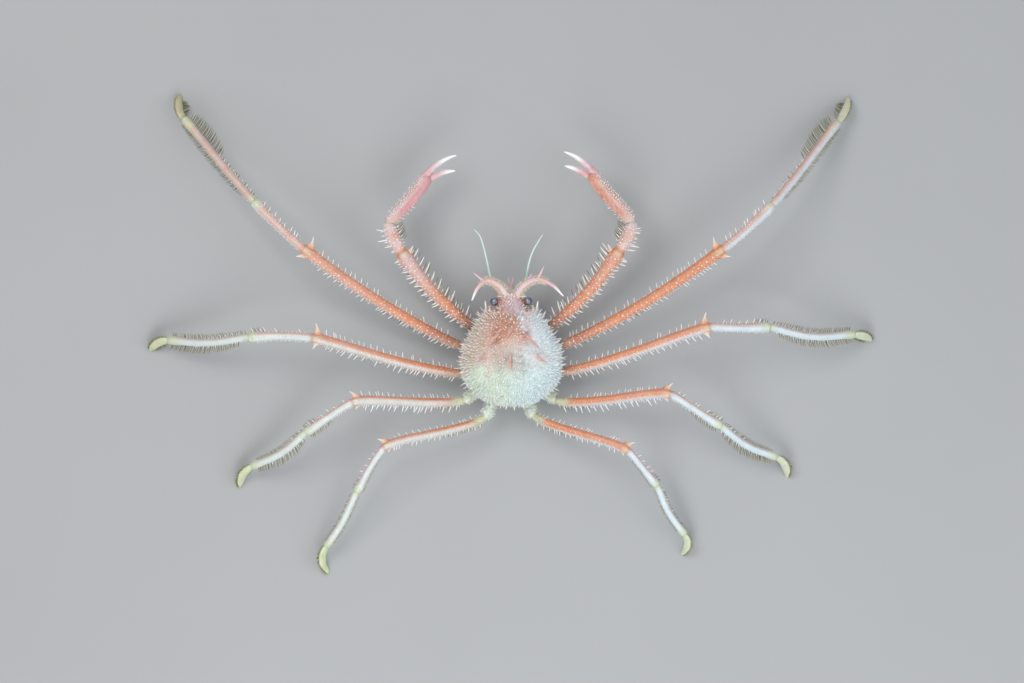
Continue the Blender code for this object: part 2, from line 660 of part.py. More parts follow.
def margin_spines(pieces, skin, rng):
    """Longer spines round the widest line of the trunk, on both sides."""
    for k in range(MARGIN_SPINES * 2):
        side = 1 if k % 2 else -1
        first, last = MARGIN_ARC
        turn = first + (last - first) * (k // 2 + 0.5) / MARGIN_SPINES + rng.uniform(-2, 2)
        turn = math.radians(turn)
        way = Vector((side * math.cos(turn), math.sin(turn), 0))
        height = WAIST_Z + (k // 2 % 3) * 1.5 + 0.4
        hit, normal, _, _ = skin.ray_cast(Vector((0, -2, height)) + BODY_AT + way * 60, -way)
        if hit is None or hit.y > BODY_AT.y + 15:
            continue
        spine(pieces, hit, normal + way * 0.5 + Vector((0, 0, 0.12)), rng.uniform(2.0, 3.2), 0.52)


def curved_spine(pieces, root, way, length, radius):
    """A long spine that rises from its root and leans over towards its tip."""
    up = Vector((0, 0, 1))
    steps = [up * length * rise + way * length * reach for rise, reach in LONG_SPINE_STEPS]
    run = bezier_run((root - up, *(root + step for step in steps)))
    tube("long_spine", run, LONG_SPINE_PROFILE, radius, 1, pieces, sides=6)


def long_spines(pieces, skin):
    for x, y, lean_x, lean_y, length in LONG_SPINES:
        hit, _, _, _ = skin.ray_cast(Vector((x, y, 60)) + BODY_AT, Vector((0, 0, -1)))
        curved_spine(pieces, hit, Vector((lean_x, lean_y, 0)).normalized(), length,
                     LONG_SPINE_RADIUS)


def orbit_spines(pieces):
    for (x, y, z), (dx, dy, dz), length in ORBIT_SPINES:
        for side in (1, -1):
            root = Vector((x * side, y, z)) + BODY_AT
            spine(pieces, root, Vector((dx * side, dy, dz)), length, 0.75, 6)


def tail_spines(pieces, skin):
    for x, length in TAIL_SPINES:
        hit, _, _, _ = skin.ray_cast(Vector((x, -60, 19)) + BODY_AT, Vector((0, 1, 0)))
        spine(pieces, hit, Vector((x * 0.04, -1, 0.1)), length, 0.5)


def front_spine(pieces):
    """The forked spine between the horns."""
    root = Vector(FRONT_SPINE_ROOT) + BODY_AT
    fork = Vector(FRONT_SPINE_FORK) + BODY_AT
    stem_radius, fork_radius, tip_radius = FRONT_SPINE_RADII
    profile = ((0.0, stem_radius), (1.0, fork_radius))
    tube("stem", bezier_run((root, fork)), profile, 1.0, 1, pieces, sides=6)
    for tip in FRONT_SPINE_TIPS:
        end = Vector(tip) + BODY_AT
        start = fork.lerp(root, 0.14)
        twig = ((0.0, fork_radius * 0.85), (1.0, tip_radius))
        tube("twig", bezier_run((start, end)), twig, 1.0, 1, pieces, sides=5)


def build_trunk(body, rng):
    carapace = trunk("carapace", body)
    skin = skin_of(carapace)
    keep_side(carapace, SEAM_Z, above=True)
    pieces = new_collection("carapace_spines")
    back_spines(pieces, skin, rng)
    margin_spines(pieces, skin, rng)
    long_spines(pieces, skin)
    orbit_spines(pieces)
    tail_spines(pieces, skin)
    front_spine(pieces)
    fuse(carapace, pieces)
    finish(carapace, "shell", SHELL)
    sternum = trunk("sternum", body)
    keep_side(sternum, SEAM_Z - GAP, above=False)
    finish(sternum, "belly", BELLY)


def build_horn(name, horn, body, host):
    run = path_run([Vector(p) + BODY_AT for p in horn.points])
    side_sign = 1 if name.endswith("_l") else -1
    obj = tube(name, run, HORN_PROFILE, 1.0, side_sign, body, sides=8)
    seat(obj, host)
    twigs = new_collection(f"{name}_twigs")
    for place, way, length in horn.twigs:
        spine(twigs, run.at(place), Vector(way), length + 0.8, 0.35 + 0.07 * length, 5)
    fuse(obj, twigs)
    finish(obj, "horn", HORN)


def build_eye(name, centre, body, host):
    middle = Vector(centre) + BODY_AT
    side = 1 if centre[0] > 0 else -1
    root = Vector((EYE_ROOT[0] * side, *EYE_ROOT[1:])) + BODY_AT
    profile = ((0.0, STALK_RADIUS), (1.0, STALK_RADIUS * 1.15))
    stalk = tube(name, bezier_run((root, middle)), profile, 1.0, 1, body, sides=8)
    seat(stalk, host)
    ball = new_collection(f"{name}_ball")
    bm = bmesh.new()
    bmesh.ops.create_uvsphere(bm, u_segments=12, v_segments=8, radius=EYE_RADIUS)
    bmesh.ops.translate(bm, vec=middle, verts=bm.verts)
    mesh_object("cornea", bm, ball)
    fuse(stalk, ball)
    finish(stalk, "eye", EYE)


def build_antenna(name, points, body, host):
    run = path_run([Vector(p) + BODY_AT for p in points])
    obj = tube(name, run, ANTENNA_PROFILE, 1.0, 1, body, sides=6)
    seat(obj, host)
    finish(obj, "feeler", FEELER)


def plate(name, table, top, thick, body):
    """A plate under the trunk, rounded below, from a table of y and half width."""
    rings = []
    for y, half_width in table:
        rings.append([Vector((half_width * u, y, top + thick * v)) + BODY_AT for u, v in PLATE_SHAPE])
    return loft(name, rings, body)


def build_underside(body, host):
    tail = plate("tail", TAIL, TAIL_TOP, TAIL_THICK, body)
    finish(tail, "belly", BELLY)
    mouth = plate("mouthparts", MOUTH, MOUTH_TOP, MOUTH_THICK, body)
    finish(mouth, "belly", BELLY)
    for obj in (tail, mouth):
        seat(obj, host)


def build():
    clear_scene()
    rng = random.Random(SEED)
    body = new_collection("spider_crab")
    cutters = new_collection("cutters")
    host = trunk("trunk_grown", cutters, grow=GAP)
    host.hide_render = True
    host.display_type = "WIRE"
    build_trunk(body, rng)
    build_underside(body, host)
    for name, horn in HORNS.items():
        build_horn(name, horn, body, host)
    for name, centre in EYES.items():
        build_eye(name, centre, body, host)
    for name, points in ANTENNAE.items():
        build_antenna(name, points, body, host)
    for name, limb in LIMBS.items():
        build_limb(name, limb, body, host, rng)


build()
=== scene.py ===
"""The looks of a life-size spider crab (Pleistacantha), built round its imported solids.

Metres, +Z up, and +Y is where the crab looks. The tables below, and the points that
the functions pass on, are in millimetres, and Piece.build turns them into metres.
Plan positions are measured from the middle of the carapace, which stands at BODY_AT.
Headings are degrees in plan, anticlockwise from +X. Round a limb, 0 degrees is its
front side, 90 its back and 180 its rear side.
"""

import itertools
import math
from collections import namedtuple

import bmesh
import bpy
import numpy as np
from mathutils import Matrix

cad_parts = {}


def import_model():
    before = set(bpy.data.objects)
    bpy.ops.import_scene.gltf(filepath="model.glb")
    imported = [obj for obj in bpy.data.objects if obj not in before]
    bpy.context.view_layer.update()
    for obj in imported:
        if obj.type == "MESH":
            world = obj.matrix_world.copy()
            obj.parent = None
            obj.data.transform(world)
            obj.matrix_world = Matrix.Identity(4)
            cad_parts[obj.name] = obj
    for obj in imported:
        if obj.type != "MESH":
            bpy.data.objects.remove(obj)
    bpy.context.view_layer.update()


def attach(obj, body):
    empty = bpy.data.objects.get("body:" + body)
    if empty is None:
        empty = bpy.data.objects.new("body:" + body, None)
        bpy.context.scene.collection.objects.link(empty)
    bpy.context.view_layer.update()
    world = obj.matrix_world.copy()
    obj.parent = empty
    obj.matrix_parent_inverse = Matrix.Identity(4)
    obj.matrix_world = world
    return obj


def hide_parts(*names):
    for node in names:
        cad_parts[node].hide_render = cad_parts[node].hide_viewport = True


MM = 0.001
GAP = 0.3
BODY_AT = np.array((0.36, -6.5, 0.0))

# The camera looks straight down from far off. At the height of the limbs it takes in
# VIEW_WIDTH millimetres from side to side.
VIEW_WIDTH = 409.6
VIEW_MIDDLE = (0.56, -3.1, 15.0)
VIEW_DISTANCE = 3000.0
SENSOR_WIDTH = 36.0

# Soft square lights that face the crab: place and size in metres, watts, tint.
LIGHTS = {
    "key": ((-0.3, 0.3, 0.68), 0.4, 2.5, (1.0, 0.98, 0.95)),
    "fill": ((0.5, -0.1, 0.52), 0.5, 1.4, (0.94, 0.97, 1.0)),
    "rear": ((-0.05, -0.5, 0.5), 0.4, 2.2, (1.0, 1.0, 0.98)),
}
SKY = {"Color": (0.96, 0.97, 1.0, 1.0), "Strength": 0.5}
FLOOR_HALF = 2500.0

# The trunk in cross sections from back to front: y, half width, top z, bottom z.
TRUNK = (
    (-21.9, 0.0, 16.7, 16.2),
    (-21.4, 2.6, 18.6, 14.2),
    (-20.6, 6.6, 20.6, 12.2),
    (-19.0, 10.4, 22.4, 10.6),
    (-16.6, 14.0, 24.2, 9.4),
    (-13.4, 16.9, 25.8, 8.6),
    (-9.6, 18.8, 27.0, 8.1),
    (-5.0, 19.5, 27.8, 8.0),
    (-0.6, 19.0, 28.0, 8.0),
    (3.4, 17.5, 27.8, 8.0),
    (7.0, 15.3, 27.2, 8.1),
    (10.4, 13.5, 26.0, 8.4),
    (13.4, 11.6, 24.6, 9.2),
    (15.8, 9.0, 23.2, 10.6),
    (17.6, 5.4, 22.2, 12.8),
    (20.0, 4.3, 21.6, 14.6),
    (22.0, 3.3, 21.2, 15.6),
    (22.8, 1.8, 20.4, 16.6),
    (23.2, 0.0, 18.8, 18.2),
)
# The height of its widest line, and of the seam between carapace and underside.
WAIST_Z = 17.0
SEAM_Z = 13.0
ROOF_FULLNESS = 0.82

# Lobes and hollows of the back: x, y, radius along x, radius along y, rise. Those off
# the midline come in pairs.
LOBES = (
    (0.0, 6.5, 6.0, 6.0, 2.4),
    (4.6, 12.0, 3.4, 3.4, 1.0),
    (0.0, -7.6, 4.2, 4.2, 2.0),
    (11.0, -4.6, 7.4, 7.4, 1.6),
    (0.0, -17.4, 3.2, 3.2, 1.0),
    (9.6, 9.4, 2.6, 2.6, 0.7),
    (6.4, 16.6, 1.7, 1.7, -1.5),
    (5.6, -7.0, 1.3, 4.6, -0.9),
    (7.2, 3.4, 3.0, 1.2, -0.8),
    (0.0, -13.4, 3.6, 1.1, -0.6),
    (12.6, 4.4, 1.2, 2.6, -0.5),
    (1.9, 18.6, 1.1, 4.2, 0.7),
    (0.0, 19.2, 0.8, 3.6, -0.9),
)

# The heights of the joints from the trunk outwards.
LEG_HEIGHTS = {
    "leg1": (9.8, 11.4, 27.0, 22.5, 6.6, 0.0),
    "leg2": (9.8, 11.4, 26.0, 21.5, 6.6, 0.0),
    "leg3": (9.8, 11.0, 24.0, 18.5, 6.4, 0.0),
    "leg4": (10.4, 11.0, 21.0, 15.5, 6.2, 0.0),
}
ARM_HEIGHTS = (9.8, 11.4, 20.0, 22.0, 18.0)

# Each limb from its root on the trunk: plan lengths and headings of its articles, the
# height of each joint, and how far the middle of each article bows to its front side, as
# a share of its length. A leg's last height is the floor.
Limb = namedtuple("Limb", "root spans headings heights bows")
LIMBS = {
    "arm_l": Limb((-11.0, 6.8), (5.5, 40.5, 12.8, 24.3), (151.6, 133.5, 113.6, 50.1), ARM_HEIGHTS,
                  (0.0, -0.02, -0.01, 0.03)),
    "arm_r": Limb((11.0, 6.8), (5.1, 40.8, 12.3, 25.4), (30.6, 47.5, 65.7, 130.1), ARM_HEIGHTS,
                  (0.0, -0.028, -0.015, 0.02)),
    "leg1_l": Limb((-12.6, 0.0), (7.8, 73.4, 27.4, 44.2, 10.1), (168.1, 148.3, 136.5, 130.5, 100.0),
                   LEG_HEIGHTS["leg1"], (0.0, -0.009, -0.006, -0.006, 0.0)),
    "leg1_r": Limb((12.6, 0.0), (7.8, 74.6, 26.4, 43.2, 11.0), (13.3, 30.9, 41.9, 51.2, 68.2),
                   LEG_HEIGHTS["leg1"], (0.0, -0.013, -0.006, -0.004, 0.0)),
    "leg2_l": Limb((-12.2, -7.6), (8.2, 60.5, 25.4, 33.1, 8.7), (191.3, 166.7, 179.2, 182.1, 209.5),
                   LEG_HEIGHTS["leg2"], (0.0, -0.012, 0.02, -0.04, 0.0)),
    "leg2_r": Limb((12.2, -7.6), (7.9, 61.4, 24.0, 34.6, 7.6), (352.7, 16.7, 0.0, 355.2, 339.4),
                   LEG_HEIGHTS["leg2"], (0.0, -0.01, -0.02, -0.058, 0.0)),
    "leg3_l": Limb((-11.4, -14.4), (9.4, 44.0, 22.5, 26.0, 9.9), (216.4, 181.0, 212.4, 212.2, 239.6),
                   LEG_HEIGHTS["leg3"], (0.0, -0.006, 0.0, -0.055, 0.03)),
    "leg3_r": Limb((11.4, -14.4), (8.4, 45.5, 23.9, 26.2, 9.3), (317.9, 3.0, 328.4, 330.7, 297.8),
                   LEG_HEIGHTS["leg3"], (0.0, -0.012, -0.01, -0.055, 0.02)),
    "leg4_l": Limb((-7.0, -18.4), (9.0, 41.9, 21.0, 25.4, 11.0), (247.1, 196.8, 237.6, 240.9, 274.2),
                   LEG_HEIGHTS["leg4"], (0.0, -0.006, 0.005, -0.03, 0.05)),
    "leg4_r": Limb((5.8, -18.4), (8.3, 39.9, 18.3, 23.0, 8.1), (292.0, 339.5, 309.9, 299.9, 261.8),
                   LEG_HEIGHTS["leg4"], (0.0, 0.0, -0.01, -0.045, 0.03)),
}
LEG_ARTICLES = ("base", "merus", "carpus", "propodus", "dactylus")
ARM_ARTICLES = ("base", "merus", "carpus", "palm")

# Girth of each article of a kind of limb, as a share of its profile below.
GIRTH = {
    "arm": (1.0, 1.0, 1.0, 1.0),
    "leg1": (1.0, 1.02, 1.08, 1.08, 1.08),
    "leg2": (1.0, 0.96, 1.04, 1.02, 1.12),
    "leg3": (1.0, 0.9, 0.95, 1.0, 1.08),
    "leg4": (1.1, 0.82, 0.86, 0.9, 1.02),
}

# Radius of each article from its near end, 0, to its far end, 1.
PROFILES = {
    "base": ((0.0, 2.1), (0.3, 2.2), (0.48, 1.98), (0.56, 1.98), (0.74, 2.15), (0.9, 2.05), (1.0, 1.8)),
    "merus": ((0.0, 1.6), (0.05, 1.8), (0.3, 1.98), (0.65, 2.05), (0.88, 2.12), (0.97, 2.3), (1.0, 2.1)),
    "carpus": ((0.0, 1.6), (0.05, 1.78), (0.13, 1.62), (0.45, 1.6), (0.8, 1.85), (0.94, 2.08), (1.0, 1.8)),
    "propodus": ((0.0, 1.45), (0.06, 1.5), (0.5, 1.5), (0.85, 1.6), (0.95, 1.74), (1.0, 1.4)),
    "dactylus": ((0.0, 1.05), (0.12, 1.42), (0.38, 1.68), (0.64, 1.55), (0.84, 1.1), (0.95, 0.7), (1.0, 0.4)),
    "arm_merus": ((0.0, 1.7), (0.05, 2.0), (0.35, 2.15), (0.6, 2.4), (0.8, 2.7), (0.93, 3.1), (1.0, 2.6)),
    "arm_carpus": ((0.0, 2.1), (0.15, 2.6), (0.5, 2.95), (0.85, 2.8), (1.0, 2.3)),
    "palm": ((0.0, 2.1), (0.1, 2.5), (0.4, 2.8), (0.72, 2.85), (0.9, 2.65), (1.0, 2.0)),
}
# How thin some articles are from side to side, as a share of their depth.
THIN = {"dactylus": 0.62, "palm": 0.85}
# A limb bends this many degrees below level. Then the turn of its ankle, the hook of its tip
# in degrees, and how far from its ends each kind of article is eased into its joints.
FLEX_DROOP = 40.0
ANKLE_TURN = -0.1
TIP_HOOK = 26.0
TIP_EASE = 0.36
JOINT_EASE = 0.18
PALM_EASE = 0.09

# The fixed and the movable finger of each claw: offset from the palm's middle line to
# its front side, turn of the chord and hook of its ends in degrees, length, and radii.
Finger = namedtuple("Finger", "offset turn hook length profile")
FIXED_PROFILE = ((0.0, 1.9), (0.2, 1.62), (0.5, 1.12), (0.85, 0.62), (1.0, 0.3))
MOVABLE_PROFILE = ((0.0, 1.15), (0.2, 1.26), (0.55, 0.98), (0.88, 0.54), (1.0, 0.28))
FINGERS = {
    "arm_l": (Finger(-1.1, 16.0, 20.0, 14.6, FIXED_PROFILE),
              Finger(1.35, 30.0, 16.0, 10.4, MOVABLE_PROFILE)),
    "arm_r": (Finger(-1.1, 13.0, 20.0, 14.4, FIXED_PROFILE),
              Finger(1.35, 24.0, 14.0, 10.4, MOVABLE_PROFILE)),
}
# The fixed finger starts this far inside the palm.
FINGER_SINK = 3.2

# The two large spines beside each knee, the front one first: angle, reach from the
# middle line, lean towards the limb's tip. They stand KNEE_BACK short of the joint, with
# their roots KNEE_SHIFT nearer to it.
KNEE_SPINES = {
    "arm": ((8, 5.4, 2.6), (172, 5.0, 1.0)),
    "leg1": ((8, 6.2, 2.6), (172, 4.1, 3.4)),
    "leg2": ((8, 6.5, 2.9), (172, 4.6, 1.9)),
    "leg3": ((8, 4.9, 4.0), (172, 3.6, 2.2)),
    "leg4": ((8, 5.0, 4.4), (172, 3.4, 2.0)),
}
KNEE_PROFILE = ((0.0, 2.3), (0.2, 2.15), (0.34, 1.8), (0.48, 1.25), (0.62, 0.7), (0.75, 0.38), (0.88, 0.24),
                (1.0, 0.08))
KNEE_BACK = 2.4
KNEE_SHIFT = 0.9

# Rows of spines: angle, spacing, longest, shortest, first place, last place, radius.
# Long and short ones follow each other.
SpineRow = namedtuple("SpineRow", "angle spacing longest shortest first last radius")
SPINE_ROWS = {
    "merus": (
        (6, 1.35, 2.3, 0.55, 0.03, 0.93, 0.27), (174, 1.3, 2.1, 0.7, 0.03, 0.93, 0.28),
        (-38, 4.2, 1.3, 0.7, 0.06, 0.92, 0.24), (218, 3.4, 1.5, 0.8, 0.06, 0.92, 0.24),
    ),
    "carpus": (
        (16, 1.5, 2.0, 0.6, 0.1, 0.95, 0.26), (168, 1.0, 0.6, 0.35, 0.05, 0.9, 0.2),
        (205, 1.8, 0.7, 0.4, 0.08, 0.9, 0.2),
    ),
    "propodus": (
        (14, 1.4, 1.2, 0.5, 0.04, 0.56, 0.22), (168, 1.4, 0.8, 0.4, 0.04, 0.7, 0.19),
    ),
    "arm_merus": (
        (4, 1.9, 4.2, 1.7, 0.05, 0.97, 0.3), (174, 1.5, 2.4, 1.1, 0.04, 0.95, 0.36),
        (202, 2.6, 1.9, 1.0, 0.04, 0.93, 0.3), (-24, 3.0, 3.4, 1.6, 0.05, 0.93, 0.3),
        (150, 3.2, 1.1, 0.7, 0.08, 0.93, 0.28),
    ),
    "arm_carpus": (
        (8, 1.6, 1.9, 1.0, 0.15, 0.9, 0.27), (172, 1.6, 3.0, 1.3, 0.12, 0.92, 0.3),
        (148, 2.1, 1.5, 0.9, 0.12, 0.9, 0.27), (196, 2.0, 1.6, 0.9, 0.12, 0.9, 0.27),
    ),
    "palm": (
        (6, 1.7, 1.3, 0.6, 0.03, 0.5, 0.22), (176, 1.1, 1.1, 0.6, 0.04, 0.93, 0.2),
        (152, 1.5, 0.9, 0.5, 0.04, 0.9, 0.2), (-22, 2.4, 1.0, 0.6, 0.05, 0.45, 0.22),
    ),
}
# How long the spines on the rear and the front side of each kind of limb are, as a share.
REAR_LENGTH = {"arm": 1.0, "leg1": 0.85, "leg2": 1.15, "leg3": 1.5, "leg4": 0.9}
FRONT_LENGTH = {"arm": 1.0, "leg1": 1.0, "leg2": 1.0, "leg3": 0.85, "leg4": 0.8}

# Rows of round white granules: angle, spacing, radius, first place, last place.
GranuleRow = namedtuple("GranuleRow", "angle spacing radius first last")
GRANULE_ROWS = {
    "merus": (
        (97, 2.4, 0.34, 0.03, 0.98), (60, 3.4, 0.2, 0.05, 0.98), (132, 1.9, 0.24, 0.03, 0.98),
        (80, 2.6, 0.13, 0.02, 0.98), (116, 2.2, 0.14, 0.02, 0.98), (150, 1.4, 0.16, 0.02, 0.98),
        (40, 2.2, 0.13, 0.02, 0.98), (-62, 2.0, 0.16, 0.05, 0.95), (242, 2.0, 0.16, 0.05, 0.95),
    ),
    "carpus": (
        (96, 1.7, 0.22, 0.05, 0.92), (62, 1.5, 0.2, 0.05, 0.9), (136, 1.3, 0.2, 0.05, 0.9),
        (40, 1.5, 0.16, 0.05, 0.9),
    ),
    "propodus": (
        (96, 2.4, 0.12, 0.05, 0.7), (140, 2.2, 0.12, 0.05, 0.8),
    ),
    "arm_merus": (
        (62, 2.9, 0.28, 0.04, 0.96), (96, 2.4, 0.36, 0.04, 0.96), (130, 2.3, 0.3, 0.04, 0.96),
        (80, 2.3, 0.17, 0.03, 0.97), (114, 2.0, 0.18, 0.03, 0.97), (44, 2.2, 0.18, 0.03, 0.97),
        (146, 1.7, 0.2, 0.03, 0.97), (240, 1.8, 0.2, 0.05, 0.95), (300, 1.8, 0.2, 0.05, 0.95),
    ),
    "arm_carpus": (
        (35, 1.5, 0.26, 0.1, 0.95), (62, 1.7, 0.32, 0.1, 0.95), (88, 1.4, 0.24, 0.1, 0.95),
        (112, 1.8, 0.32, 0.1, 0.95), (134, 1.4, 0.26, 0.1, 0.95), (240, 1.6, 0.22, 0.1, 0.9),
        (300, 1.6, 0.22, 0.1, 0.9),
    ),
    "palm": (
        (120, 1.1, 0.24, 0.03, 0.93), (136, 1.0, 0.26, 0.03, 0.93), (104, 1.5, 0.2, 0.03, 0.9),
        (164, 1.0, 0.24, 0.03, 0.95), (30, 1.4, 0.22, 0.03, 0.6), (206, 1.4, 0.2, 0.05, 0.9),
    ),
}
# How large the granules of each kind of limb are, as a share.
GRANULE_SHARE = {"arm": 1.0, "leg1": 1.0, "leg2": 0.8, "leg3": 0.6, "leg4": 0.7}

# Fringes of bristles on the articles of each kind of limb: article, angle, spacing,
# first place, last place, length at the middle and at the ends, and hairs in a tuft.
Fringe = namedtuple("Fringe", "article angle spacing first last long short hairs")
FRINGES = {
    "arm": (
        ("merus", -4, 2.6, 0.15, 0.97, 4.4, 2.6, 5), ("carpus", 0, 1.0, 0.3, 0.97, 4.0, 3.0, 4),
        ("merus", 184, 2.4, 0.05, 0.9, 1.5, 1.2, 2),
    ),
    "leg1": (
        ("propodus", -2, 0.82, 0.52, 0.97, 5.2, 2.8, 4), ("propodus", 184, 0.7, 0.12, 0.97, 2.1, 1.2, 3),
        ("dactylus", -30, 0.84, 0.05, 0.8, 3.3, 2.6, 4), ("dactylus", 150, 0.4, 0.1, 0.8, 0.7, 0.6, 3),
        ("propodus", 4, 1.9, 0.02, 0.5, 1.5, 0.9, 3), ("merus", 184, 2.1, 0.02, 0.5, 1.8, 1.2, 3),
    ),
    "leg2": (
        ("propodus", -2, 0.95, 0.03, 0.96, 2.3, 1.5, 4), ("propodus", 184, 0.85, 0.12, 0.97, 3.4, 1.8, 4),
        ("dactylus", 210, 0.6, 0.06, 0.86, 1.6, 1.2, 3), ("dactylus", 10, 0.42, 0.04, 0.93, 1.1, 0.8, 3),
        ("carpus", 0, 0.9, 0.72, 0.99, 2.0, 1.3, 3), ("merus", 184, 2.1, 0.02, 0.3, 1.6, 1.2, 3),
    ),
    "leg3": (
        ("propodus", 0, 0.85, 0.03, 0.9, 1.7, 1.0, 4), ("propodus", 184, 0.8, 0.08, 0.93, 3.3, 1.7, 4),
        ("dactylus", 30, 0.4, 0.03, 0.93, 1.2, 0.8, 3), ("carpus", 184, 0.9, 0.45, 0.99, 2.4, 1.3, 3),
        ("carpus", 0, 0.9, 0.7, 0.99, 2.2, 1.4, 3), ("merus", 186, 1.2, 0.02, 0.3, 1.8, 1.3, 3),
        ("dactylus", 215, 0.6, 0.06, 0.5, 0.8, 0.6, 3),
    ),
    "leg4": (
        ("propodus", 0, 0.8, 0.05, 0.96, 1.2, 0.8, 3), ("propodus", 184, 0.8, 0.05, 0.9, 1.3, 0.9, 3),
        ("dactylus", 30, 0.4, 0.02, 0.9, 1.1, 0.8, 3), ("carpus", 184, 0.9, 0.2, 0.99, 1.3, 0.9, 3),
        ("carpus", 0, 0.8, 0.72, 0.99, 1.4, 1.0, 3), ("merus", 186, 1.1, 0.02, 0.5, 1.6, 1.1, 3),
    ),
}
BRISTLE_RADIUS = 0.12
BRISTLE_SPREAD = 8.0

# Long spines of the back: x, y of the root, x, y of the lean, length.
LONG_SPINES = (
    (-5.4, 6.2, -0.72, -0.64, 7.4),
    (5.4, 6.4, 0.68, -0.70, 8.8),
    (-0.4, 8.0, -0.30, -0.62, 4.2),
    (-0.6, -1.6, 0.02, -0.78, 6.2),
    (-9.8, -1.8, -0.66, -0.62, 4.8),
    (9.2, -1.8, 0.76, -0.50, 5.4),
)
# The points that bend each of them: rise and reach, as shares of its length.
LONG_SPINE_STEPS = ((0.3, 0.15), (0.42, 0.6), (0.34, 1.0))
LONG_SPINE_PROFILE = ((0.0, 1.7), (0.12, 1.1), (0.3, 0.72), (0.65, 0.46), (0.9, 0.24), (1.0, 0.06))
LONG_SPINE_RADIUS = 0.84

# Spines round the orbits and the hepatic lobes, from the midline outwards: x, y, z
# of the root, then where each points, its length and radius. The left ones mirror them.
ORBIT_SPINES = (
    ((9.7, 14.2, 17.6), (0.24, 0.95, 0.2), 5.6, 0.8),
    ((11.8, 12.6, 16.8), (0.62, 0.76, 0.12), 3.6, 0.55),
    ((7.8, 13.7, 20.8), (0.42, 0.88, 0.25), 3.4, 0.5),
    ((3.4, 21.4, 20.2), (1.0, 0.0, 0.1), 2.8, 0.42),
    ((4.7, 16.0, 21.6), (0.74, 0.62, 0.3), 2.3, 0.27),
    ((5.5, 14.3, 22.6), (0.78, 0.58, 0.22), 2.7, 0.27),
    ((8.9, 12.6, 21.4), (0.5, 0.7, 0.5), 2.2, 0.36),
    ((10.4, 11.2, 20.8), (0.7, 0.5, 0.5), 2.2, 0.36),
    ((10.0, 14.2, 14.8), (0.5, 0.85, 0.0), 2.6, 0.42),
    ((12.6, 10.4, 15.4), (0.9, 0.4, 0.05), 2.8, 0.42),
    ((13.4, 8.6, 16.8), (0.95, 0.3, 0.05), 2.4, 0.36),
)
# The longer spines along the rear edge: x, length.
TAIL_SPINES = ((-1.9, 3.2), (1.0, 3.4), (-5.2, 2.4), (4.6, 2.6), (-3.4, 2.2), (2.8, 2.0), (-0.4, 2.2),
               (6.6, 1.8))

# Each horn's middle line from its root to its tip, and its twigs: place along it, way, length.
Horn = namedtuple("Horn", "points twigs")
HORNS = {
    "horn_l": Horn(
        ((-1.6, 20.6, 19.2), (-2.8, 23.0, 20.0), (-5.1, 25.8, 21.3), (-9.8, 27.8, 23.4), (-13.6, 24.6, 24.6),
         (-15.8, 19.8, 24.6)),
        ((0.65, (-0.82, 0.57, 0.2), 4.8), (0.38, (-0.3, 0.85, 0.4), 1.9), (0.46, (-0.95, -0.25, 0.1), 2.0))),
    "horn_r": Horn(
        ((1.6, 20.6, 19.2), (2.8, 23.0, 20.0), (5.6, 26.4, 21.4), (10.8, 28.2, 23.4), (16.2, 26.0, 24.6),
         (20.6, 21.6, 24.4)),
        ((0.585, (0.47, 0.88, 0.2), 5.0), (0.44, (0.39, 0.9, 0.3), 3.2), (0.42, (0.95, -0.3, 0.1), 2.6))),
}
HORN_PROFILE = ((0.0, 1.6), (0.12, 1.45), (0.3, 1.3), (0.48, 1.15), (0.64, 1.0), (0.8, 0.75), (0.92, 0.5),
                (1.0, 0.22))

# The forked spine between the horns: its root and its fork, then its two tips.
FRONT_SPINE = ((0.0, 21.0, 17.8), (-0.3, 26.4, 16.9))
FRONT_TIPS = ((-1.25, 29.0, 17.0), (0.55, 29.0, 17.0))
FRONT_PROFILE = ((0.0, 1.1), (0.3, 0.85), (0.8, 0.6), (1.0, 0.42))
FRONT_TIP_PROFILE = ((0.0, 0.5), (0.4, 0.34), (1.0, 0.07))

# The cup behind each eye: x and y of its middle, its radius, and the radii along its rim.
CUP_AT = (6.4, 16.5)
CUP_RADIUS = 2.05
CUP_PROFILE = ((0.0, 0.2), (0.15, 0.6), (0.5, 0.85), (0.85, 0.6), (1.0, 0.2))

# The middle of each eye, and the root of the right one's stalk, which the left one's mirrors.
EYE_RADIUS = 1.65
EYES = {"eye_l": (-6.8, 19.3, 18.8), "eye_r": (6.5, 19.5, 18.8)}
EYE_ROOT = (3.0, 18.4, 18.0)
STALK_PROFILE = ((0.0, 1.0), (0.3, 0.85), (0.6, 0.95), (1.0, 1.35))

# The middle line of each antenna from its root to its tip, and from where on it is a lash.
ANTENNAE = {
    "antenna_l": ((-3.6, 19.6, 15.4), (-6.4, 24.8, 16.2), (-8.6, 29.8, 17.6), (-9.8, 35.4, 20.0),
                  (-11.1, 41.0, 22.8), (-12.6, 45.4, 25.2), (-14.8, 48.0, 26.8)),
    "antenna_r": ((3.6, 19.6, 15.4), (5.2, 25.0, 16.2), (6.0, 29.4, 17.6), (7.0, 35.0, 20.0),
                  (8.6, 39.6, 22.4), (10.4, 42.8, 24.2), (12.4, 46.0, 25.8)),
}
ANTENNA_PROFILE = ((0.0, 1.0), (0.1, 0.92), (0.115, 0.7), (0.13, 0.72), (0.235, 0.62), (0.25, 0.42),
                   (0.45, 0.36), (0.62, 0.32), (0.8, 0.28), (1.0, 0.14))
FLAGELLUM_FROM = 0.25

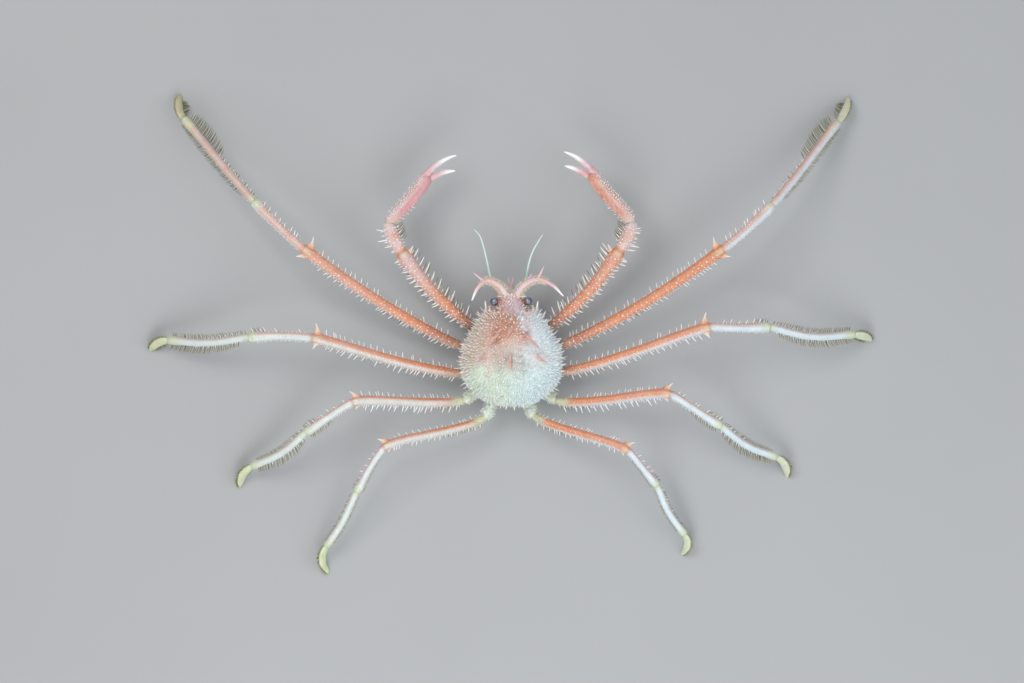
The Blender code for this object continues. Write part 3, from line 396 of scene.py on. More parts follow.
# The folded tail under the trunk: y, half width. It lies TAIL_THICK deep below the belly.
TAIL = ((-19.0, 3.2), (-18.4, 4.4), (-15.4, 4.6), (-12.4, 4.0), (-9.2, 3.4), (-6.0, 2.9), (-2.8, 2.5),
        (0.6, 1.9), (2.2, 0.9), (2.6, 0.3))
TAIL_TOP = 7.9
TAIL_THICK = 1.8
TAIL_JOINTS = (-17.2, -14.6, -11.6, -8.6, -5.4, -2.2)

# The plates of the mouthparts: y, half width. They lie MOUTH_THICK deep below the belly.
MOUTH_PLATES = ((6.2, 1.2), (7.0, 1.7), (9.0, 1.95), (12.0, 2.0), (14.6, 1.9), (16.6, 1.5), (17.8, 0.8))
MOUTH_TOP = 8.2
MOUTH_THICK = 1.8
# The radii along the palps beside those plates, and along the small feelers under the snout.
PALP_PROFILE = ((0.0, 0.75), (0.5, 0.6), (1.0, 0.25))
ANTENNULE_PROFILE = ((0.0, 0.6), (0.45, 0.48), (0.55, 0.24), (1.0, 0.06))

# How a kind of piece looks: roughness, clear coat, size of its relief in millimetres and its
# strength, unevenness of its colour, and how much light passes through its skin.
Look = namedtuple("Look", "rough coat bump_size bump mottle glow")


def rgb(red, green, blue):
    """A display colour from 0 to 255 as the linear colour that shaders take."""
    shares = np.array((red, green, blue)) / 255
    return np.where(shares <= 0.04045, shares / 12.92, ((shares + 0.055) / 1.055) ** 2.4)


RUST = rgb(182, 116, 88)
ORANGE = rgb(216, 140, 98)
SALMON = rgb(216, 162, 142)
ROSE = rgb(212, 148, 166)
BLUSH = rgb(222, 196, 188)
SAND = rgb(204, 178, 150)
CREAM = rgb(226, 230, 200)
WHITE = rgb(244, 247, 246)
PEARL = rgb(216, 226, 226)
ICE = rgb(218, 237, 247)
LEAF = rgb(192, 214, 158)
OLIVE = rgb(104, 98, 46)
STRAW = rgb(190, 186, 108)
MAUVE = rgb(216, 192, 212)
MINT = rgb(205, 229, 220)
UMBER = rgb(172, 116, 94)
SPINE_FOOT = rgb(206, 172, 142)
MOSS = rgb(214, 214, 176)
FROST = rgb(232, 250, 244)
JOINT = rgb(208, 220, 184)
PALM_ORANGE = rgb(206, 132, 108)
KNEE_ORANGE = rgb(214, 120, 66)
WORN = rgb(196, 198, 186)
SPINE_PALE = rgb(226, 188, 178)
SPINE_SALMON = rgb(212, 154, 142)
DUSK = rgb(204, 178, 170)
KHAKI = rgb(178, 176, 132)
TIP_YELLOW = rgb(196, 190, 116)
FUZZ_TAN = rgb(188, 168, 126)
FUZZ_PALE = rgb(232, 222, 186)
COLLAR = rgb(176, 84, 60)
EYE_EDGE = rgb(160, 106, 90)
EYE_DARK = rgb(74, 64, 66)
# The blue-grey on the upper side of each cornea: partly its own colour, partly a painted reflection.
EYE_SHEEN = rgb(164, 180, 204)
EYE_RING = rgb(30, 26, 30)
FLOOR_TINT = rgb(168, 170, 172)

# Where the pale band down the rear side of each merus begins and is full, in degrees.
PALE_BANDS = {
    "arm_l": (125, 175), "arm_r": (130, 178), "leg1_l": (110, 165), "leg1_r": (128, 178),
    "leg2_l": (74, 106), "leg2_r": (94, 128), "leg3_l": (48, 82), "leg3_r": (98, 138),
    "leg4_l": (58, 92), "leg4_r": (110, 150),
}

LOOKS = {
    "shell": Look(0.55, 0.08, 0.9, 0.5, 0.05, 0.3),
    "limb": Look(0.42, 0.16, 1.1, 0.35, 0.08, 0.3),
    "horn": Look(0.38, 0.2, 0.8, 0.25, 0.06, 0.3),
    "belly": Look(0.5, 0.1, 1.3, 0.35, 0.07, 0.3),
    "tip": Look(0.42, 0.15, 0.8, 0.3, 0.08, 0.3),
    "feeler": Look(0.4, 0.15, 0.5, 0.15, 0.05, 0.3),
    "bristle": Look(0.55, 0.0, 0.6, 0.1, 0.12, 0.2),
    "fuzz": Look(0.75, 0.0, 0.6, 0.0, 0.03, 0.0),
}

# Taper of spines, granules and hairs: share of the length, share of the radius.
THORN = ((0.0, 1.6), (0.1, 1.15), (0.25, 0.9), (0.55, 0.66), (0.82, 0.42), (0.95, 0.22), (1.0, 0.0))
GRANULE = ((0.0, 1.5), (0.25, 1.12), (0.5, 0.92), (0.78, 0.6), (0.94, 0.26), (1.0, 0.0))
HAIR = ((0.0, 1.0), (0.35, 0.92), (0.7, 0.65), (1.0, 0.0))
SPINULE = ((0.0, 1.6), (0.2, 1.05), (0.5, 0.75), (0.85, 0.38), (1.0, 0.0))

# The near end of an article stands in the cup at the far end of the one before:
# offset along it and share of its radius there, both in shares of the end radius.
NECK = ((-0.62, 0.25), (-0.56, 0.55), (-0.3, 0.8), (-0.02, 0.86), (0.1, 0.9), (0.25, 0.97), (0.4, 1.0))
CUP = ((-0.34, 1.0), (-0.12, 1.02), (0.02, 1.0), (0.06, 0.96), (0.02, 0.9), (-0.1, 0.87), (-0.4, 0.84),
       (-0.62, 0.6), (-0.7, 0.25))
ROUND_END = ((-0.3, 1.0), (-0.12, 0.95), (0.06, 0.84), (0.2, 0.64), (0.29, 0.4), (0.32, 0.15))
POINT = ((-0.02, 0.95), (0.3, 0.8), (0.6, 0.45), (0.75, 0.15))
STUB = ((-1.2, 0.5), (-1.1, 0.8), (-0.6, 0.95), (0.0, 1.0))

FAR_ENDS = {"dactylus": POINT, "palm": ROUND_END}
TWIG_LEAN = np.array(((0.0, 0.08, 0.06),))

# How finely the middle lines and the skins are divided.
RUN_MARKS = 160
PATH_MARKS = 40
LIMB_SIDES = 36
LIMB_STEP = 0.5
TRUNK_RINGS = 250
TRUNK_SIDES = 220
# The size of one hair's spot in the unwrap.
PATCH = 0.003
# The carapace's skin shows this share of its colour, a little darker than the hairs on it.
SKIN_SHADE = 0.9
# Fine hairs are shaded by the skin below them, turned towards the sky, with this share of their own.
OWN_SHADE = 0.4
SKYWARD = np.array((0.0, 0.0, 0.5))
# Half the steps along and round the trunk over which its slope is measured.
TRUNK_STEP = 0.05
TRUNK_TURN = 0.4

# How many spines, granules, teeth, tufts and hairs there are, and how far apart.
RANDOM_SEED = 17
SPINULE_TRIES = 14000
SPINULE_GAP = 1.0
MARGIN_TRIES = 1500
MARGIN_GAP = 1.9
# Each of these coats lies over the whole carapace.
FUZZ_COATS = ("fuzz_front", "fuzz_sides", "fuzz_rear")
FUZZ_TUFTS = 1700
TUFT_HAIRS = 6
TUFT_SPREAD = 0.07
JOINT_TUFTS = {"arm": 7, "leg1": 8, "leg2": 10, "leg3": 17, "leg4": 19}
JOINT_HAIRS = 5
HORN_TUFTS = 210
HORN_HAIRS = 3
HORN_GRANULES = 70
HORN_THORNS = 16
STALK_GRANULES = 44
CUP_TEETH = 10
FIXED_TEETH = 12
MOVABLE_TEETH = 10
ANTENNA_HAIRS = 90
MOUTH_HAIRS = 260
# How deep the roots of the orbit spines and of the horns' twigs stand in the skin.
SPINE_DEEP = 0.6


def unit(vectors):
    return vectors / np.maximum(np.linalg.norm(vectors, axis=-1, keepdims=True), 1e-9)


def mix(first, second, share):
    """The first colour at a share of 0 or less, the second at 1 or more, and between them a blend."""
    share = np.asarray(np.clip(share, 0, 1), float)[..., None]
    return first * (1 - share) + second * share


def step(low, high, value):
    """0 below low, 1 above high, and a smooth rise between."""
    t = np.clip((value - low) / (high - low), 0, 1)
    return t * t * (3 - 2 * t)


def bell(value, middle, width, power=2):
    """1 at the middle, and nearly 0 from twice the width on."""
    return np.exp(-(np.abs(value - middle) / width) ** power)


def spot(x, y, at_x, at_y, wide, long, power=2):
    """A bell in plan: 1 at its middle, and nearly 0 well outside its width and length."""
    return bell(x, at_x, wide, power) * bell(y, at_y, long, power)


def local(points):
    """x, y and z of these points, from the middle of the carapace."""
    return np.moveaxis(points - BODY_AT, -1, 0)


def smooth(table, places):
    """A smooth curve, without overshoot, through a table of (place, value) pairs."""
    marks, values = np.array(table, float).T
    spans = np.diff(marks)
    slopes = np.diff(values) / spans
    both = slopes[:-1] * slopes[1:]
    sums = np.where(both > 0, slopes[:-1] + slopes[1:], 1)
    inner = np.where(both > 0, 2 * both / sums, 0)
    tangents = np.concatenate((slopes[:1], inner, slopes[-1:]))
    k = np.clip(np.searchsorted(marks, places) - 1, 0, len(spans) - 1)
    t = np.clip((places - marks[k]) / spans[k], 0, 1)
    bend = spans[k] * (tangents[k] * (1 - t) - tangents[k + 1] * t)
    rise = (values[k + 1] - values[k]) * (1 - 2 * t) * -1
    blend = values[k] + (values[k + 1] - values[k]) * t
    return blend + t * (1 - t) * (bend + rise)


def turns(sides):
    """So many angles, evenly round a circle."""
    return 360 * np.arange(sides) / sides


def ripple(points, size, seed):
    """Smooth uneven values, mostly from -1 to 1, in lumps of about this size."""
    rng = np.random.default_rng(seed)
    waves = unit(rng.normal(size=(10, 3))) * (2 * math.pi / size) * rng.uniform(0.6, 1.5, (10, 1))
    phases = rng.uniform(0, 2 * math.pi, 10)
    return np.sin(points @ waves.T + phases).sum(-1) / 3.2


class Run:
    """A middle line by share of its length. Past its ends it goes straight on."""

    def __init__(self, points, ways, marks=None):
        steps = np.linalg.norm(np.diff(points, axis=0), axis=1)
        travelled = np.concatenate(([0.0], np.cumsum(steps)))
        self.length = travelled[-1]
        self.marks = travelled / self.length if marks is None else marks
        self.points = points
        self.ways = ways

    def at(self, place):
        inside = np.clip(place, 0, 1)
        points = np.stack([np.interp(inside, self.marks, axis) for axis in self.points.T], -1)
        return points + self.way(inside) * ((place - inside) * self.length)[..., None]

    def way(self, place):
        inside = np.clip(place, 0, 1)
        return unit(np.stack([np.interp(inside, self.marks, axis) for axis in self.ways.T], -1))


def bezier(controls, t):
    """Points of the curve with these control points, one for each t."""
    rows = [np.broadcast_to(control, (len(t), 3)) for control in controls]
    while len(rows) > 1:
        rows = [a + (b - a) * t[:, None] for a, b in zip(rows, rows[1:])]
    return rows[0]


def bezier_run(controls, sideways=np.zeros(3)):
    """The middle line with these control points. sideways moves its middle and not its ends."""
    t = np.linspace(0, 1, RUN_MARKS)
    steps = [b - a for a, b in zip(controls, controls[1:])]
    points = bezier(controls, t) + np.sin(math.pi * t)[:, None] ** 2 * sideways
    bend = math.pi * np.sin(2 * math.pi * t)[:, None] * sideways
    return Run(points, unit(bezier(steps, t) * len(steps) + bend))


def path_run(points):
    """The smooth line through these points, each an equal share of it from the next."""
    points = np.array(points) + BODY_AT
    ends = np.vstack((points[0] * 2 - points[1], points, points[-1] * 2 - points[-2]))
    t = np.linspace(0, 1, PATH_MARKS)
    lines, ways, marks = [], [], []
    for k in range(len(points) - 1):
        a, b, c, d = ends[k:k + 4]
        controls = (b, b + (c - a) / 6, c - (d - b) / 6, c)
        steps = [q - p for p, q in zip(controls, controls[1:])]
        lines.append(bezier(controls, t)[:-1])
        ways.append(bezier(steps, t)[:-1])
        marks.append((k + t[:-1]) / (len(points) - 1))
    lines.append(points[-1:])
    ways.append(points[-1:] - points[-2:-1])
    marks.append([1.0])
    return Run(np.vstack(lines), unit(np.vstack(ways)), np.concatenate(marks))


def front_and_up(way, side):
    """The front side and the back of a limb that runs this way, square to it."""
    front = unit(np.cross(way, (0, 0, 1))) * side
    up = np.cross(front, way)
    return front, up * np.where(up[..., 2:] > 0, 1, -1)


class Article:
    """A middle line with a skin round it, thin across the angle roll."""

    def __init__(self, run, profile, scale, side, roll=0.0, thin=1.0):
        self.run = run
        self.profile = profile
        self.scale = scale
        self.side = side
        self.roll = roll
        self.thin = thin
        self.length = run.length

    def radius(self, place):
        return smooth(self.profile, np.clip(place, 0, 1)) * self.scale

    def skin(self, place, angle, share=1.0):
        """Points of the skin and the ways out of it, at places and angles in degrees."""
        place, angle = np.broadcast_arrays(place, angle)
        front, up = front_and_up(self.run.way(place), self.side)
        tilt = math.radians(self.roll)
        deep_way = front * math.cos(tilt) + up * math.sin(tilt)
        wide_way = up * math.cos(tilt) - front * math.sin(tilt)
        turn = np.radians(angle - self.roll)[..., None]
        deep, wide = np.cos(turn), np.sin(turn)
        radius = (self.radius(place) * share)[..., None]
        points = self.run.at(place) + (deep_way * deep + wide_way * wide * self.thin) * radius
        return points, unit(deep_way * deep + wide_way * wide / self.thin)


class Piece:
    """Points, faces and colours gathered in millimetres, to be made into one object."""

    def __init__(self):
        self.points, self.tints, self.patches, self.soft = [], [], [], []
        self.quads, self.tris = [], []
        self.count = 0

    def add(self, points, quads, tris, tints, patches=None, soft=None):
        self.quads.append(quads + self.count)
        self.tris.append(tris + self.count)
        self.points.append(points)
        self.tints.append(np.broadcast_to(tints, points.shape))
        self.patches.append(np.zeros((len(points), 2)) if patches is None else patches)
        self.soft.append(np.zeros(points.shape) if soft is None else soft)
        self.count += len(points)

    def mesh(self, name, with_patches):
        points = np.concatenate(self.points) * MM
        quads = np.concatenate(self.quads).astype(np.int32)
        tris = np.concatenate(self.tris).astype(np.int32)
        corners = np.concatenate((quads.ravel(), tris.ravel()))
        starts = np.concatenate((np.arange(len(quads)) * 4, quads.size + np.arange(len(tris)) * 3))
        mesh = bpy.data.meshes.new(name)
        mesh.vertices.add(len(points))
        mesh.vertices.foreach_set("co", points.astype(np.float32).ravel())
        mesh.loops.add(len(corners))
        mesh.loops.foreach_set("vertex_index", corners)
        mesh.polygons.add(len(starts))
        mesh.polygons.foreach_set("loop_start", starts.astype(np.int32))
        mesh.update(calc_edges=True)
        mesh.shade_smooth()
        tints = mesh.color_attributes.new("Tint", "FLOAT_COLOR", "POINT")
        colours = np.ones((len(points), 4), np.float32)
        colours[:, :3] = np.concatenate(self.tints)
        tints.data.foreach_set("color", colours.ravel())
        if with_patches:
            layer = mesh.uv_layers.new(name="OFBake")
            patches = np.concatenate(self.patches)[corners]
            layer.data.foreach_set("uv", patches.astype(np.float32).ravel())
        soft = np.concatenate(self.soft)
        if soft.any():
            own = np.empty(soft.size, np.float32)
            mesh.vertex_normals.foreach_get("vector", own)
            mesh.normals_split_custom_set_from_vertices(unit(own.reshape(-1, 3) * OWN_SHADE + soft).tolist())
        return mesh

    def build(self, name, look, slot, *nodes, with_patches=False):
        """Makes the object, which rides on the frame and stands for these nodes."""
        obj = bpy.data.objects.new(name, self.mesh(name, with_patches))
        bpy.context.scene.collection.objects.link(obj)
        obj.data.materials.append(material(look))
        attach(obj, "root")
        if nodes:
            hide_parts(*nodes)
        return obj


def sleeve(rings):
    """The points, quads and end triangles of a closed skin over rings of points."""
    count, sides = rings.shape[:2]
    middle = rings[count // 2]
    ahead = rings[count // 2 + 1].mean(0) - rings[count // 2 - 1].mean(0)
    spokes = middle - middle.mean(0)
    turn = np.cross(spokes, np.roll(spokes, -1, 0)).sum(0)
    k = np.arange(sides)
    j = (k + 1) % sides
    near = (np.arange(count - 1) * sides)[:, None]
    quads = np.stack((near + k, near + j, near + sides + j, near + sides + k), -1).reshape(-1, 4)
    first = np.full(sides, count * sides)
    last_ring = (count - 1) * sides
    near_fan = np.stack((j, k, first), -1)
    far_fan = np.stack((last_ring + k, last_ring + j, first + 1), -1)
    tris = np.concatenate((near_fan, far_fan))
    if turn @ ahead < 0:
        quads, tris = quads[:, ::-1], tris[:, ::-1]
    ends = np.stack((rings[0].mean(0), rings[-1].mean(0)))
    return np.concatenate((rings.reshape(-1, 3), ends)), quads, tris


def add_sleeve(piece, rings, tints):
    """Adds a closed skin. tints has a colour for each point of the rings, or one for all."""
    points, quads, tris = sleeve(rings)
    tints = np.broadcast_to(tints, rings.shape)
    ends = np.stack((tints[0].mean(0), tints[-1].mean(0)))
    piece.add(points, quads, tris, np.concatenate((tints.reshape(-1, 3), ends)))


def add_tube(piece, article, rows, sides, tint_at, swell_at=np.ones_like):
    """Adds a round skin. tint_at and swell_at give its colours and the swelling of its girth by place."""
    place = np.linspace(0, 1, rows)
    rings, _ = article.skin(place[:, None], turns(sides), swell_at(place)[:, None])
    add_sleeve(piece, rings, tint_at(place)[:, None])


def ball_rings(middle, axis, radius, stretch, rows, sides):
    """Rings of a ball from its rear along the axis to its front, and how far along it each is, 0 to 1."""
    share = np.linspace(0.01, 0.99, rows) * math.pi
    turn = 2 * math.pi * np.arange(sides) / sides
    beside = unit(np.cross(axis, (0, 0, 1)))
    over = np.cross(beside, axis)
    spokes = beside * np.cos(turn)[:, None] + over * np.sin(turn)[:, None]
    rings = middle - axis * np.cos(share)[:, None, None] * stretch
    rings = rings + spokes * np.sin(share)[:, None, None] * radius
    return rings, ((1 - np.cos(share)) / 2)[:, None]


def add_spikes(piece, root, way, length, radius, tints, lean=None, sides=6, shape=THORN, sink=0.35,
               patch=None, soft=None):
    """Adds many tapered spines or hairs. tints are their colours at the root and the tip.

    lean moves each tip by that share of its length and bends the spine that way. soft
    are the ways out of the skin below, by which fine hairs are shaded.
    """
    count = len(root)
    length = np.broadcast_to(length, count)
    radius = np.broadcast_to(radius, count)
    way = unit(way)
    shares, widths = np.array(shape).T
    helper = np.where(np.abs(way[:, 2:]) < 0.9, (0.0, 0.0, 1.0), (1.0, 0.0, 0.0))
    across = unit(np.cross(way, helper))
    beside = np.cross(way, across)
    reach = shares * (length + sink)[:, None] - sink
    centre = root[:, None] + way[:, None] * reach[..., None]
    if lean is not None:
        centre = centre + lean[:, None] * (shares ** 2)[:, None] * length[:, None, None]
    turn = 2 * math.pi * np.arange(sides) / sides
    spokes = across[:, None] * np.cos(turn)[:, None] + beside[:, None] * np.sin(turn)[:, None]
    rings = centre[:, :-1, None] + spokes[:, None] * (radius[:, None] * widths[:-1])[..., None, None]
    points = np.concatenate((rings.reshape(count, -1, 3), centre[:, -1:]), axis=1)
    points[..., 2] = np.maximum(points[..., 2], 0)
    rows = len(shares) - 1
    k = np.arange(sides)
    j = (k + 1) % sides
    near = (np.arange(rows - 1) * sides)[:, None]
    quads = np.stack((near + k, near + j, near + sides + j, near + sides + k), -1).reshape(-1, 4)
    top = (rows - 1) * sides
    fan = np.arange(1, sides - 1)
    tris = np.concatenate((np.stack((top + k, top + j, np.full(sides, rows * sides)), -1),
                           np.stack((np.zeros_like(fan), fan + 1, fan), -1)))
    offsets = (np.arange(count) * points.shape[1])[:, None, None]
    along = np.append(np.repeat(shares[:-1], sides), 1.0)
    root_tint = np.broadcast_to(tints[0], (count, 3))[:, None]
    tip_tint = np.broadcast_to(tints[1], (count, 3))[:, None]
    colours = mix(root_tint, tip_tint, np.broadcast_to(along ** 0.7, (count, len(along))))
    patches = None
    if patch is not None:
        around = np.append(np.tile(k / sides, rows), 0.5)
        corner = np.stack((around - 0.5, along - 0.5), -1) * PATCH
        patches = (patch[:, None] + corner).reshape(-1, 2)
    if soft is not None:
        soft = np.repeat(soft, points.shape[1], 0)
    piece.add(points.reshape(-1, 3), (quads + offsets).reshape(-1, 4), (tris + offsets).reshape(-1, 3),
              colours.reshape(-1, 3), patches, soft)


def add_hairs(piece, root, way, length, radius, tints, lean, patch, soft, sink=0.1):
    """Adds fine hairs. patch has the middle of each one's own spot in the unwrap."""
    patch = np.clip(patch, PATCH, 1 - PATCH)
    add_spikes(piece, root, way, length, radius, tints, lean=lean, sides=3, shape=HAIR, sink=sink,
               patch=patch, soft=soft)


def skin_patch(angle, along):
    """Where these angles, and these shares of a limb or a horn, lie in an unwrap of its skin."""
    return np.stack(((angle % 360) / 360, along), -1)


def set_inputs(node, values):
    for key, value in values.items():
        node.inputs[key].default_value = value


def lead(tree, node, sources):
    """Leads these outputs of other nodes into the node's inputs."""
    for key, source in sources.items():
        tree.links.new(source, node.inputs[key])


def add_node(tree, kind, values, sources):
    node = tree.nodes.new(f"ShaderNode{kind}")
    set_inputs(node, values)
    lead(tree, node, sources)
    return node


def noise(tree, place, scale, detail):
    return add_node(tree, "TexNoise", {"Scale": scale, "Detail": detail}, {"Vector": place})


def ranged(tree, source, low, high):
    """A value from 0 to 1 taken to the range from low to high."""
    return add_node(tree, "MapRange", {"To Min": low, "To Max": high}, {"Value": source}).outputs["Result"]


def bumped(tree, height, strength, distance):
    values = {"Strength": strength, "Distance": distance}
    return add_node(tree, "Bump", values, {"Height": height}).outputs["Normal"]


def mottled(tree, tint, cloud, low, high):
    """The tint made darker and paler in clouds."""
    shade = ranged(tree, cloud, low, high)
    colour = tree.nodes.new("ShaderNodeVectorMath")
    colour.operation = "SCALE"
    lead(tree, colour, {0: tint, "Scale": shade})
    return colour.outputs["Vector"]


def start_material(name, values):
    """A new material, its nodes and its shader with these values, and the sources of place and tint."""
    found = bpy.data.materials.new(name)
    found.use_nodes = True
    tree = found.node_tree
    shader = tree.nodes["Principled BSDF"]
    set_inputs(shader, values)
    place = tree.nodes.new("ShaderNodeTexCoord").outputs["Object"]
    tint = tree.nodes.new("ShaderNodeVertexColor")
    tint.layer_name = "Tint"
    return found, tree, shader, place, tint.outputs["Color"]


def material(name):
    """A shader that takes its colour from the piece's own tints, uneven in colour, gloss and relief."""
    found = bpy.data.materials.get(f"{name}_look")
    if found is not None:
        return found
    look = LOOKS[name]
    values = {"Coat Weight": look.coat, "Coat Roughness": 0.25, "Subsurface Weight": look.glow,
              "Subsurface Radius": (1.0, 0.6, 0.5), "Subsurface Scale": 0.4 * MM}
    found, tree, shader, place, tint = start_material(f"{name}_look", values)
    cloud = noise(tree, place, 1000 / (look.bump_size * 4), 4.0).outputs["Fac"]
    grain = noise(tree, place, 1000 / look.bump_size, 3.0).outputs["Fac"]
    colour = mottled(tree, tint, cloud, 1 - look.mottle * 2, 1 + look.mottle)
    gloss = ranged(tree, grain, look.rough - 0.1, look.rough + 0.12)
    relief = bumped(tree, grain, look.bump, 0.1 * MM)
    lead(tree, shader, {"Base Color": colour, "Roughness": gloss, "Normal": relief})
    return found


def eye_material():
    """A dark wet cornea with fine facets."""
    values = {"Roughness": 0.16, "Coat Weight": 1.0, "Coat Roughness": 0.06}
    found, tree, shader, place, tint = start_material("cornea_look", values)
    facets = add_node(tree, "TexVoronoi", {"Scale": 9000.0}, {"Vector": place}).outputs["Distance"]
    cloud = noise(tree, place, 900.0, 3.0).outputs["Color"]
    blend = tree.nodes.new("ShaderNodeMix")
    blend.data_type = "RGBA"
    blend.blend_type = "MULTIPLY"
    blend.inputs["Factor"].default_value = 0.6
    lead(tree, blend, {"A": tint, "B": cloud})
    relief = bumped(tree, facets, 0.25, 0.03 * MM)
    lead(tree, shader, {"Base Color": blend.outputs["Result"], "Normal": relief})
    return found


def floor_material():
    """A matt pale sheet, very slightly uneven."""
    values = {"Roughness": 0.9, "Specular IOR Level": 0.1}
    found, tree, shader, place, tint = start_material("floor_look", values)
    cloud = noise(tree, place, 12.0, 2.0).outputs["Fac"]
    lead(tree, shader, {"Base Color": mottled(tree, tint, cloud, 0.97, 1.03)})
    return found


def make_camera():
    """Straight down, with the crab's front at the top of the picture."""
    data = bpy.data.cameras.new("camera")
    data.sensor_width = SENSOR_WIDTH
    data.lens = SENSOR_WIDTH * VIEW_DISTANCE / VIEW_WIDTH
    data.clip_end = 20.0
    camera = bpy.data.objects.new("camera", data)
    x, y, z = VIEW_MIDDLE
    camera.location = (x * MM, y * MM, (z + VIEW_DISTANCE) * MM)
    bpy.context.scene.collection.objects.link(camera)
    bpy.context.scene.camera = camera


def make_light(name, place, size, watts, tint):
    data = bpy.data.lights.new(name, "AREA")
    data.size = size
    data.energy = watts
    data.color = tint
    light = bpy.data.objects.new(name, data)
    light.location = place
    light.rotation_euler = (-light.location).to_track_quat("-Z", "Y").to_euler()
    bpy.context.scene.collection.objects.link(light)


def make_studio():
    """A plain pale floor, soft lights from above and both sides, and an even pale sky."""
    scene = bpy.context.scene
    scene.view_settings.view_transform = "Standard"
    world = bpy.data.worlds.new("sky")
    world.use_nodes = True
    set_inputs(world.node_tree.nodes["Background"], SKY)
    scene.world = world
    for name, light in LIGHTS.items():
        make_light(name, *light)
    floor = Piece()
    corners = np.array(((-1, -1, 0), (1, -1, 0), (1, 1, 0), (-1, 1, 0))) * FLOOR_HALF
    floor.add(corners, np.array(((0, 1, 2, 3),)), np.zeros((0, 3), int), FLOOR_TINT)
    obj = bpy.data.objects.new("floor", floor.mesh("floor", False))
    scene.collection.objects.link(obj)
    obj.data.materials.append(floor_material())


def trunk_row(y):
    rows = np.array(TRUNK)
    return [smooth(rows[:, (0, column)], y) for column in (1, 2, 3)]


def trunk_points(y, angle):
    """Points of the trunk's skin: angle 0 is its right side and 90 degrees its top."""
    y, angle = np.broadcast_arrays(np.asarray(y, float), np.radians(angle))
    half_width, top, bottom = trunk_row(y)
    c, s = np.cos(angle), np.sin(angle)
    roof = s >= 0
    x = half_width * np.where(roof, np.sign(c) * np.abs(c) ** ROOF_FULLNESS, c)
    z = WAIST_Z + np.where(roof, (top - WAIST_Z) * np.abs(s) ** ROOF_FULLNESS, (WAIST_Z - bottom) * s)
    for lobe_x, lobe_y, wide, long, rise in LOBES:
        for centre in sorted({lobe_x, -lobe_x}):
            near = ((x - centre) / wide) ** 2 + ((y - lobe_y) / long) ** 2
            z = z + rise * np.clip(s, 0, 1) * np.exp(-near)
    return np.stack((x, y, z), -1) + BODY_AT


def trunk_cross(y, angle):
    """The ways out of the trunk's skin, each as long as its bit of skin is large."""
    y, angle = np.asarray(y), np.asarray(angle)
    along = trunk_points(y + TRUNK_STEP, angle) - trunk_points(y - TRUNK_STEP, angle)
    round_it = trunk_points(y, angle + TRUNK_TURN) - trunk_points(y, angle - TRUNK_TURN)
    return np.cross(along, round_it)


def trunk_out(y, angle):
    """The ways straight out of the trunk's skin."""
    return unit(trunk_cross(y, angle))


def trunk_angle(x, y):
    """The angle of the roof's skin over this place in plan."""
    half_width = trunk_row(np.asarray(y, float))[0]
    across = np.clip(np.abs(x) / half_width, 0, 1) ** (1 / ROOF_FULLNESS)
    angle = np.degrees(np.arccos(across))
    return np.where(np.asarray(x) >= 0, angle, 180 - angle)


def roof_points(y, angle):
    """Points of the carapace's skin with its uneven relief."""
    plain_skin = trunk_points(y, angle)
    relief = 0.14 * ripple(plain_skin, 3.4, 5) + 0.07 * ripple(plain_skin, 1.3, 6)
    return plain_skin + trunk_out(y, angle) * relief[..., None]


